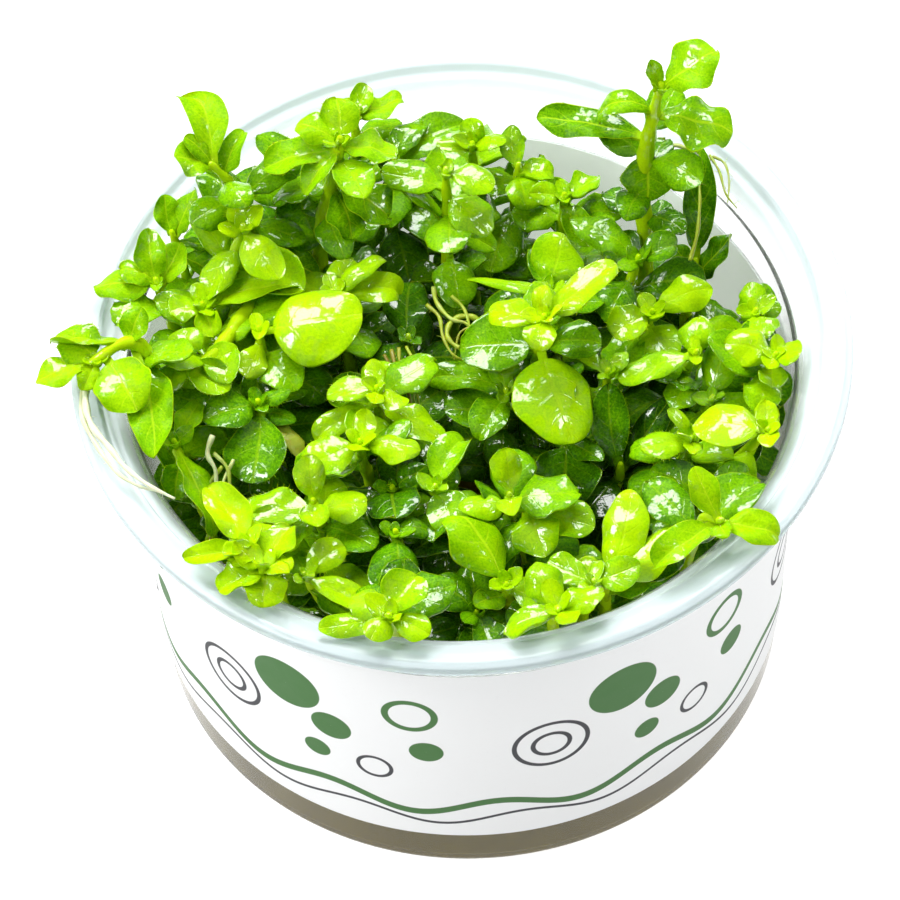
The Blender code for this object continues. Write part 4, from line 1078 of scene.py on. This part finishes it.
def make_cup():
    """The cup, turned from its inside floor up to the lip and down its outside."""
    inside_floor = [
        (0.0, WALL),
        (inner_radius(0) - FLOOR_CORNER, WALL),
        (inner_radius(FLOOR_CORNER) - CORNER_CUT, WALL + CORNER_CUT),
        (inner_radius(FLOOR_CORNER), FLOOR_CORNER + EDGE),
    ]
    inside_mouth = [
        (inner_radius(NECK_HEIGHT), NECK_HEIGHT),
        (SEAT_RADIUS, CUP_HEIGHT - SEAT_DROP),
        (FLANGE_RADIUS - EDGE, CUP_HEIGHT - SEAT_DROP + SEAT_RISE),
        (FLANGE_RADIUS, CUP_HEIGHT - EDGE),
    ]
    lip = [
        (RIM_RADIUS - 2 * EDGE, CUP_HEIGHT),
        (RIM_RADIUS, CUP_HEIGHT - EDGE),
        (RIM_RADIUS, CUP_HEIGHT - LIP_DROP),
        (RIM_RADIUS - WALL, CUP_HEIGHT - LIP_DROP),
        (RIM_RADIUS - WALL - EDGE, CUP_HEIGHT - WALL),
    ]
    outside = [
        (FLANGE_RADIUS + WALL, CUP_HEIGHT - EDGE - WALL),
        (FLANGE_RADIUS + EDGE, CUP_HEIGHT - SEAT_DROP + SEAT_RISE - WALL),
        (SEAT_RADIUS + SEAT_RISE, CUP_HEIGHT - SEAT_DROP - WALL),
        (outer_radius(NECK_HEIGHT), NECK_HEIGHT - EDGE),
        (outer_radius(FLOOR_CORNER), FLOOR_CORNER),
        (outer_radius(0) - CORNER_CUT, FOOT_RISE),
        (outer_radius(0) - FLOOR_CORNER, 0.0),
        (0.0, 0.0),
    ]
    piece = turned("clear_cup", rounded(inside_floor + inside_mouth + lip + outside, CUP_ROUNDING))
    piece.data.materials.append(make_clear_plastic())
    finish_piece(piece, "clear_plastic", "cup")


def make_label():
    """The label as a thin band. Its map is in millimetres round the cup and up it."""
    heights = np.linspace(LABEL_BOTTOM, LABEL_TOP, LABEL_ROWS)
    points = []
    places = []
    for k in range(ROUND_STEPS + 1):
        turn = 2 * math.pi * k / ROUND_STEPS
        for outside in (0, 1):
            for z in heights:
                radius = outer_radius(z) + LABEL_LIFT + outside * LABEL_THICKNESS
                points.append((radius * math.sin(turn), -radius * math.cos(turn), z))
                places.append((turn * NECK_RADIUS, z, outside))
    faces = []
    ring = 2 * LABEL_ROWS
    for k in range(ROUND_STEPS):
        inner_a, inner_b = k * ring, (k + 1) * ring
        outer_a, outer_b = inner_a + LABEL_ROWS, inner_b + LABEL_ROWS
        for i in range(LABEL_ROWS - 1):
            faces.append((inner_a + i + 1, inner_b + i + 1, inner_b + i, inner_a + i))
            faces.append((outer_a + i, outer_b + i, outer_b + i + 1, outer_a + i + 1))
        faces.append((inner_a, inner_b, outer_b, outer_a))
        faces.append((outer_a - 1, inner_a + ring - 1, inner_b + ring - 1, outer_b - 1))
    mesh = bpy.data.meshes.new("printed_label")
    mesh.from_pydata(np.array(points) * MM, [], faces)
    mesh.shade_smooth()
    mesh.set_sharp_from_angle(angle=math.radians(LABEL_SHARP_ANGLE))
    place = mesh.attributes.new("place", "FLOAT_VECTOR", "POINT")
    place.data.foreach_set("vector", np.array(places, dtype=np.float32).ravel())
    mesh.materials.append(make_label_film())
    piece = add_piece("printed_label", mesh)
    finish_piece(piece, "white_label", "label")


def make_gel():
    """The gel fills the bottom of the cup and clings to its wall, so it reaches a little into the plastic."""
    top_radius = inner_radius(GEL_HEIGHT)
    corner = inner_radius(FLOOR_CORNER) + GEL_REACH
    profile = [
        (0.0, GEL_HEIGHT - GEL_DIP),
        (top_radius * 0.6, GEL_HEIGHT - GEL_EDGE_DIP),
        (top_radius - MENISCUS_WIDTH, GEL_HEIGHT - GEL_EDGE_DIP),
        (top_radius + GEL_REACH, GEL_HEIGHT),
        (corner, FLOOR_CORNER + EDGE),
        (corner - CORNER_CUT, WALL + CORNER_CUT - GEL_REACH),
        (inner_radius(0) - FLOOR_CORNER, WALL - GEL_REACH),
        (0.0, WALL - GEL_REACH),
    ]
    piece = turned("set_gel", rounded(profile, GEL_ROUNDING))
    piece.data.materials.append(make_gel_material())
    finish_piece(piece, "culture_gel", "gel")


class Material:
    """A Principled material, with short ways to add nodes to it."""

    def __init__(self, name, settings):
        self.material = bpy.data.materials.new(name)
        self.material.use_nodes = True
        self.tree = self.material.node_tree
        self.shader = self.tree.nodes["Principled BSDF"]
        for socket, value in settings.items():
            self.put(self.shader.inputs[socket], value)
        self.coordinates = self.tree.nodes.new("ShaderNodeTexCoord").outputs["Object"]

    def put(self, socket, value):
        """Links an output to a socket, or sets the socket's value."""
        if isinstance(value, bpy.types.NodeSocket):
            self.tree.links.new(value, socket)
        else:
            socket.default_value = value

    def set(self, socket, value):
        self.put(self.shader.inputs[socket], value)

    def calc(self, operation, *values):
        """A Math node's result."""
        node = self.tree.nodes.new("ShaderNodeMath")
        node.operation = operation
        for socket, value in zip(node.inputs, values):
            self.put(socket, value)
        return node.outputs[0]

    def times(self, first, second):
        return self.calc("MULTIPLY", first, second)

    def scaled(self, value, factor, plus):
        """A value times a factor, with something added."""
        return self.calc("MULTIPLY_ADD", value, factor, plus)

    def swing(self, value, size):
        """A value from 0 to 1, spread evenly round 0 over a size."""
        return self.calc("MULTIPLY_ADD", value, size, -0.5 * size)

    def noise(self, size, detail=2.0, roughness=0.5):
        """Noise whose lumps are about size millimetres across."""
        node = self.tree.nodes.new("ShaderNodeTexNoise")
        self.put(node.inputs["Vector"], self.coordinates)
        node.inputs["Scale"].default_value = 1.0 / (size * MM)
        node.inputs["Detail"].default_value = detail
        node.inputs["Roughness"].default_value = roughness
        return node.outputs["Fac"]

    def steps(self, value, low, high):
        """A smooth step from 0 to 1 while a value goes from low to high."""
        node = self.tree.nodes.new("ShaderNodeMapRange")
        node.interpolation_type = "SMOOTHSTEP"
        for socket, amount in zip(node.inputs, (value, low, high, 0.0, 1.0)):
            self.put(socket, amount)
        return node.outputs[0]

    def ramp(self, value, stops):
        """A colour ramp over a value, from its stops as (position, colour)."""
        node = self.tree.nodes.new("ShaderNodeValToRGB")
        self.put(node.inputs[0], value)
        elements = node.color_ramp.elements
        while len(elements) < len(stops):
            elements.new(0.5)
        for element, (position, colour) in zip(elements, stops):
            element.position = position
            element.color = (*colour, 1.0)
        return node.outputs[0]

    def mix(self, share, first, second):
        """A mix of two colours, with this share of the second."""
        node = self.tree.nodes.new("ShaderNodeMix")
        node.data_type = "RGBA"
        self.put(node.inputs["Factor"], share)
        for socket, value in ((node.inputs[6], first), (node.inputs[7], second)):
            self.put(socket, (*value, 1.0) if isinstance(value, tuple) else value)
        return node.outputs[2]

    def attribute(self, name):
        """The node that reads one of the mesh's attributes."""
        node = self.tree.nodes.new("ShaderNodeAttribute")
        node.attribute_name = name
        return node

    def parts(self, vector):
        """A vector's three numbers."""
        node = self.tree.nodes.new("ShaderNodeSeparateXYZ")
        self.put(node.inputs[0], vector)
        return node.outputs

    def bump(self, height, depth, strength=1.0):
        """A bump whose full height is depth millimetres."""
        node = self.tree.nodes.new("ShaderNodeBump")
        node.inputs["Strength"].default_value = strength
        node.inputs["Distance"].default_value = depth * MM
        self.put(node.inputs["Height"], height)
        return node.outputs[0]


def make_leaf_tissue():
    """Living leaf and stem, from dark green to lime by its tone, waxy and wet or thin and veined."""
    tissue = Material("leaf_tissue", {
        "Specular IOR Level": 0.04,
        "Coat Roughness": 0.03,
        "Coat IOR": 1.75,
        "Subsurface Weight": 0.2,
        "Subsurface Scale": 0.7 * MM,
        "Subsurface Radius": (0.7, 1.0, 0.05),
    })
    tone = tissue.attribute("tone").outputs["Fac"]
    thin = tissue.attribute("thin").outputs["Fac"]
    side, part, upper = tissue.parts(tissue.attribute("place").outputs["Vector"])
    side = tissue.calc("ABSOLUTE", side)
    blotch = tissue.noise(BLOTCH_SIZE)
    grain = tissue.noise(GRAIN_SIZE, 2.0, 0.75)

    # Green by tone, blotches and grain, darker just inside the edge: partly the leaf's own darker margin,
    # partly painted shade where the edge turns down and away from the light
    shade = tissue.calc("ADD", tone, tissue.swing(blotch, BLOTCH_SWING))
    shade = tissue.calc("ADD", shade, tissue.swing(grain, GRAIN_SWING))
    margin_and_shade = tissue.times(tissue.steps(side, 0.45, 1.0), tissue.steps(side, 1.0, 0.96))
    shade = tissue.calc("SUBTRACT", shade, tissue.times(margin_and_shade, MARGIN_DARK_AND_SHADE))
    green = tissue.ramp(tissue.scaled(shade, 0.8, 0.05), LEAF_COLOURS)

    # Pale veins: a midrib, side veins that bend towards the tip, and the stalk. A pale rim along the edge is
    # a painted glow of light through the edge, stronger on thin leaves
    arc = tissue.times(side, tissue.scaled(tissue.times(side, side), 0.9, 1.0))
    phase = tissue.calc("SUBTRACT", tissue.times(part, SIDE_VEINS), arc)
    away = tissue.calc("ABSOLUTE", tissue.calc("SUBTRACT", tissue.calc("FRACT", phase), 0.5))
    branch = tissue.times(tissue.steps(away, 0.07, 0.02), tissue.steps(side, 0.95, 0.3))
    vein = tissue.calc("MAXIMUM", tissue.steps(side, 0.08, 0.02), tissue.times(branch, 0.6))
    vein = tissue.calc("MAXIMUM", vein, tissue.steps(part, 0.16, 0.08))
    rim = tissue.times(tissue.steps(side, 0.93, 0.99), tissue.scaled(thin, *RIM_PALENESS_AND_GLOW))
    pale_share = tissue.times(vein, tissue.scaled(thin, *VEIN_PALENESS))
    pale = tissue.mix(tissue.calc("MAXIMUM", pale_share, rim), green, PALE_VEIN)
    under = tissue.calc("SUBTRACT", 1.0, upper)
    tissue.set("Base Color", tissue.mix(tissue.times(under, 0.45), pale, UNDERSIDE))

    # Wet patches, fewer on thin leaves
    puddle = tissue.scaled(grain, 0.06, tissue.noise(PUDDLE_SIZE, 3.0, 0.7))
    wet = tissue.steps(tissue.scaled(thin, -0.07, puddle), WET_FROM, WET_FROM + 0.02)
    tissue.set("Coat Weight", tissue.scaled(wet, 0.95, 0.03))
    tissue.set("Roughness", tissue.scaled(grain, 0.3, 0.35))

    # Fine relief: soft lumps, grain, and sunken veins
    ribs = tissue.times(tissue.times(vein, tissue.steps(part, 0.1, 0.2)), -0.25)
    skin = tissue.calc("ADD", tissue.noise(SKIN_LUMP_SIZE, 2.0, 0.6), ribs)
    relief = tissue.bump(tissue.scaled(grain, 0.12, skin), SKIN_DEPTH)
    tissue.set("Normal", relief)
    tissue.set("Coat Normal", relief)
    return tissue.material


def make_clear_plastic():
    """Clear moulded plastic, a little wavy. Its rim is milky."""
    plastic = Material("clear_plastic", {"IOR": 1.32, "Specular IOR Level": 0.35})
    flow = plastic.noise(12.0)
    height = plastic.parts(plastic.coordinates)[2]
    milky = plastic.steps(height, MILKY_FROM * MM, MILKY_TO * MM)
    plastic.set("Base Color", plastic.mix(milky, CLEAR_TINT, MILKY_TINT))
    plastic.set("Transmission Weight", plastic.scaled(milky, -0.48, 0.98))
    plastic.set("Roughness", plastic.scaled(milky, 0.09, plastic.scaled(flow, 0.06, 0.08)))
    waves = plastic.times(flow, plastic.calc("SUBTRACT", 1.0, milky))
    plastic.set("Normal", plastic.bump(waves, 0.03, 0.5))
    return plastic.material


def make_label_film():
    """White satin film with a plain print of rings and waves on its outside. Its inside glows with painted
    light.
    """
    film = Material("label_film", {
        "Specular IOR Level": 0.3,
        "Emission Color": (0.93, 1.0, 0.9, 1.0),
    })
    round_cup, height, outside = film.parts(film.attribute("place").outputs["Vector"])
    fleck = film.steps(film.noise(0.5, 1.0), 0.70, 0.76)
    paper = film.mix(film.times(fleck, 0.06), LABEL_WHITE, FLECK_GREY)
    strength = film.scaled(outside, 0.75, 0.25)
    tile = film.calc("WRAP", round_cup, PRINT_REPEAT, 0.0)

    def line(value, middle, half):
        off = film.calc("ABSOLUTE", film.calc("SUBTRACT", value, middle))
        return film.steps(off, half + PRINT_SOFTNESS, half - PRINT_SOFTNESS)

    def ring(across, up, radius, half):
        dx = film.calc("SUBTRACT", tile, across)
        dy = film.calc("SUBTRACT", height, up)
        far = film.calc("SQRT", film.calc("ADD", film.times(dx, dx), film.times(dy, dy)))
        return line(far, radius, half)

    def wave(up, rise, half, shift):
        turn = film.scaled(round_cup, 2 * math.pi * WAVES_A_REPEAT / PRINT_REPEAT, shift)
        return line(height, film.scaled(film.calc("SINE", turn), rise, up), half)

    def together(shapes):
        total = shapes[0]
        for shape in shapes[1:]:
            total = film.calc("MAXIMUM", total, shape)
        return total

    printed = paper
    for rings, band, colour in ((GREEN_RINGS, GREEN_WAVE, PRINT_GREEN), (GREY_RINGS, GREY_WAVE, PRINT_GREY)):
        shapes = together([ring(*place) for place in rings] + [wave(*band)])
        printed = film.mix(film.times(shapes, strength), printed, colour)
    film.set("Base Color", printed)
    # Painted light: the inner face glows, standing for light that comes in through the film.
    film.set("Emission Strength", film.scaled(outside, -INNER_GLOW, INNER_GLOW))
    film.set("Roughness", film.scaled(film.noise(2.0), 0.12, 0.5))
    film.set("Normal", film.bump(film.noise(6.0), 0.02, 0.4))
    return film.material


def make_gel_material():
    """Olive-brown culture gel, cloudy in places."""
    gel = Material("culture_gel", {
        "Transmission Weight": 0.05,
        "IOR": 1.34,
        "Roughness": 0.2,
        "Specular IOR Level": 0.05,
    })
    gel.set("Base Color", gel.ramp(gel.noise(9.0, 3.0), GEL_COLOURS))
    gel.set("Normal", gel.bump(gel.noise(3.0), 0.15, 0.5))
    return gel.material


def make_root_material():
    """Roots and strands, from olive tan to nearly white by their tone."""
    root = Material("root_fibre", {
        "Roughness": 0.4,
        "Subsurface Weight": 0.2,
        "Subsurface Scale": 0.5 * MM,
    })
    patches = root.swing(root.noise(2.0), 0.4)
    tone = root.calc("ADD", root.attribute("tone").outputs["Fac"], patches)
    root.set("Base Color", root.ramp(tone, ROOT_COLOURS))
    root.set("Normal", root.bump(root.noise(0.5), 0.08))
    return root.material


def make_floor():
    """A wide pale floor just under the cup, which glows so that it looks white."""
    reach = FLOOR_REACH
    corners = [(-reach, -reach, 0), (reach, -reach, 0), (reach, reach, 0), (-reach, reach, 0)]
    mesh = bpy.data.meshes.new("floor")
    mesh.from_pydata(corners, [], [(0, 1, 2, 3)])
    floor = add_piece("floor", mesh)
    floor.location.z = -FLOOR_GAP
    white = Material("pale_floor", {
        "Roughness": 0.8,
        "Emission Color": (1.0, 1.0, 1.0, 1.0),
        "Emission Strength": 1.0,
    })
    white.set("Base Color", white.ramp(white.noise(40.0, 1.0), FLOOR_COLOURS))
    mesh.materials.append(white.material)


def make_light(name, place, size, power):
    """A soft rectangular light that faces the cup and isn't seen itself."""
    light = bpy.data.lights.new(name, "AREA")
    light.shape = "RECTANGLE"
    light.size, light.size_y = size
    light.energy = power
    lamp = bpy.data.objects.new(name, light)
    bpy.context.scene.collection.objects.link(lamp)
    lamp.location = place
    lamp.rotation_euler = (Vector(LIGHT_AIM) - Vector(place)).to_track_quat("-Z", "Y").to_euler()
    lamp.visible_camera = False


def make_lights():
    """Three soft lights and a dim white world."""
    for light in LIGHTS:
        make_light(*light)
    world = bpy.data.worlds.new("studio")
    world.use_nodes = True
    background = world.node_tree.nodes["Background"]
    background.inputs["Color"].default_value = (1.0, 1.0, 1.0, 1.0)
    background.inputs["Strength"].default_value = WORLD_STRENGTH
    bpy.context.scene.world = world


def make_camera():
    """The photograph's view, from the front and above, a little tilted."""
    rise = math.radians(CAMERA_RISE)
    tilt = math.radians(CAMERA_TILT)
    back = Vector((0.0, -math.cos(rise), math.sin(rise)))
    right = Vector((1.0, 0.0, 0.0))
    up = right.cross(-back)
    tilted_right = right * math.cos(tilt) + up * math.sin(tilt)
    tilted_up = -right * math.sin(tilt) + up * math.cos(tilt)
    place = Matrix((tilted_right, tilted_up, back)).transposed().to_4x4()
    place.translation = Vector(CAMERA_AIM) + back * CAMERA_DISTANCE
    lens = bpy.data.cameras.new("photo_camera")
    lens.sensor_width = CAMERA_SENSOR
    lens.lens = CAMERA_LENS
    lens.clip_start = 0.05
    lens.clip_end = 20.0
    camera = bpy.data.objects.new("photo_camera", lens)
    camera.matrix_world = place
    bpy.context.scene.collection.objects.link(camera)
    bpy.context.scene.camera = camera


def main():
    """Makes the studio, the cup with its label and gel, and then every shoot."""
    make_camera()
    make_lights()
    make_floor()
    make_cup()
    make_label()
    make_gel()
    materials = [make_leaf_tissue(), make_root_material()]
    stems, settled, obstacles = settled_leaves()
    more = more_leaves(stems, settled, obstacles)
    for shoot, points, leaves, extra in zip(SHOOTS, stems, settled, more):
        make_shoot(shoot, points, leaves, extra, materials)
    view = bpy.context.scene.view_settings
    view.view_transform = "Standard"
    view.look = "None"


main()
bpy.context.view_layer.update()
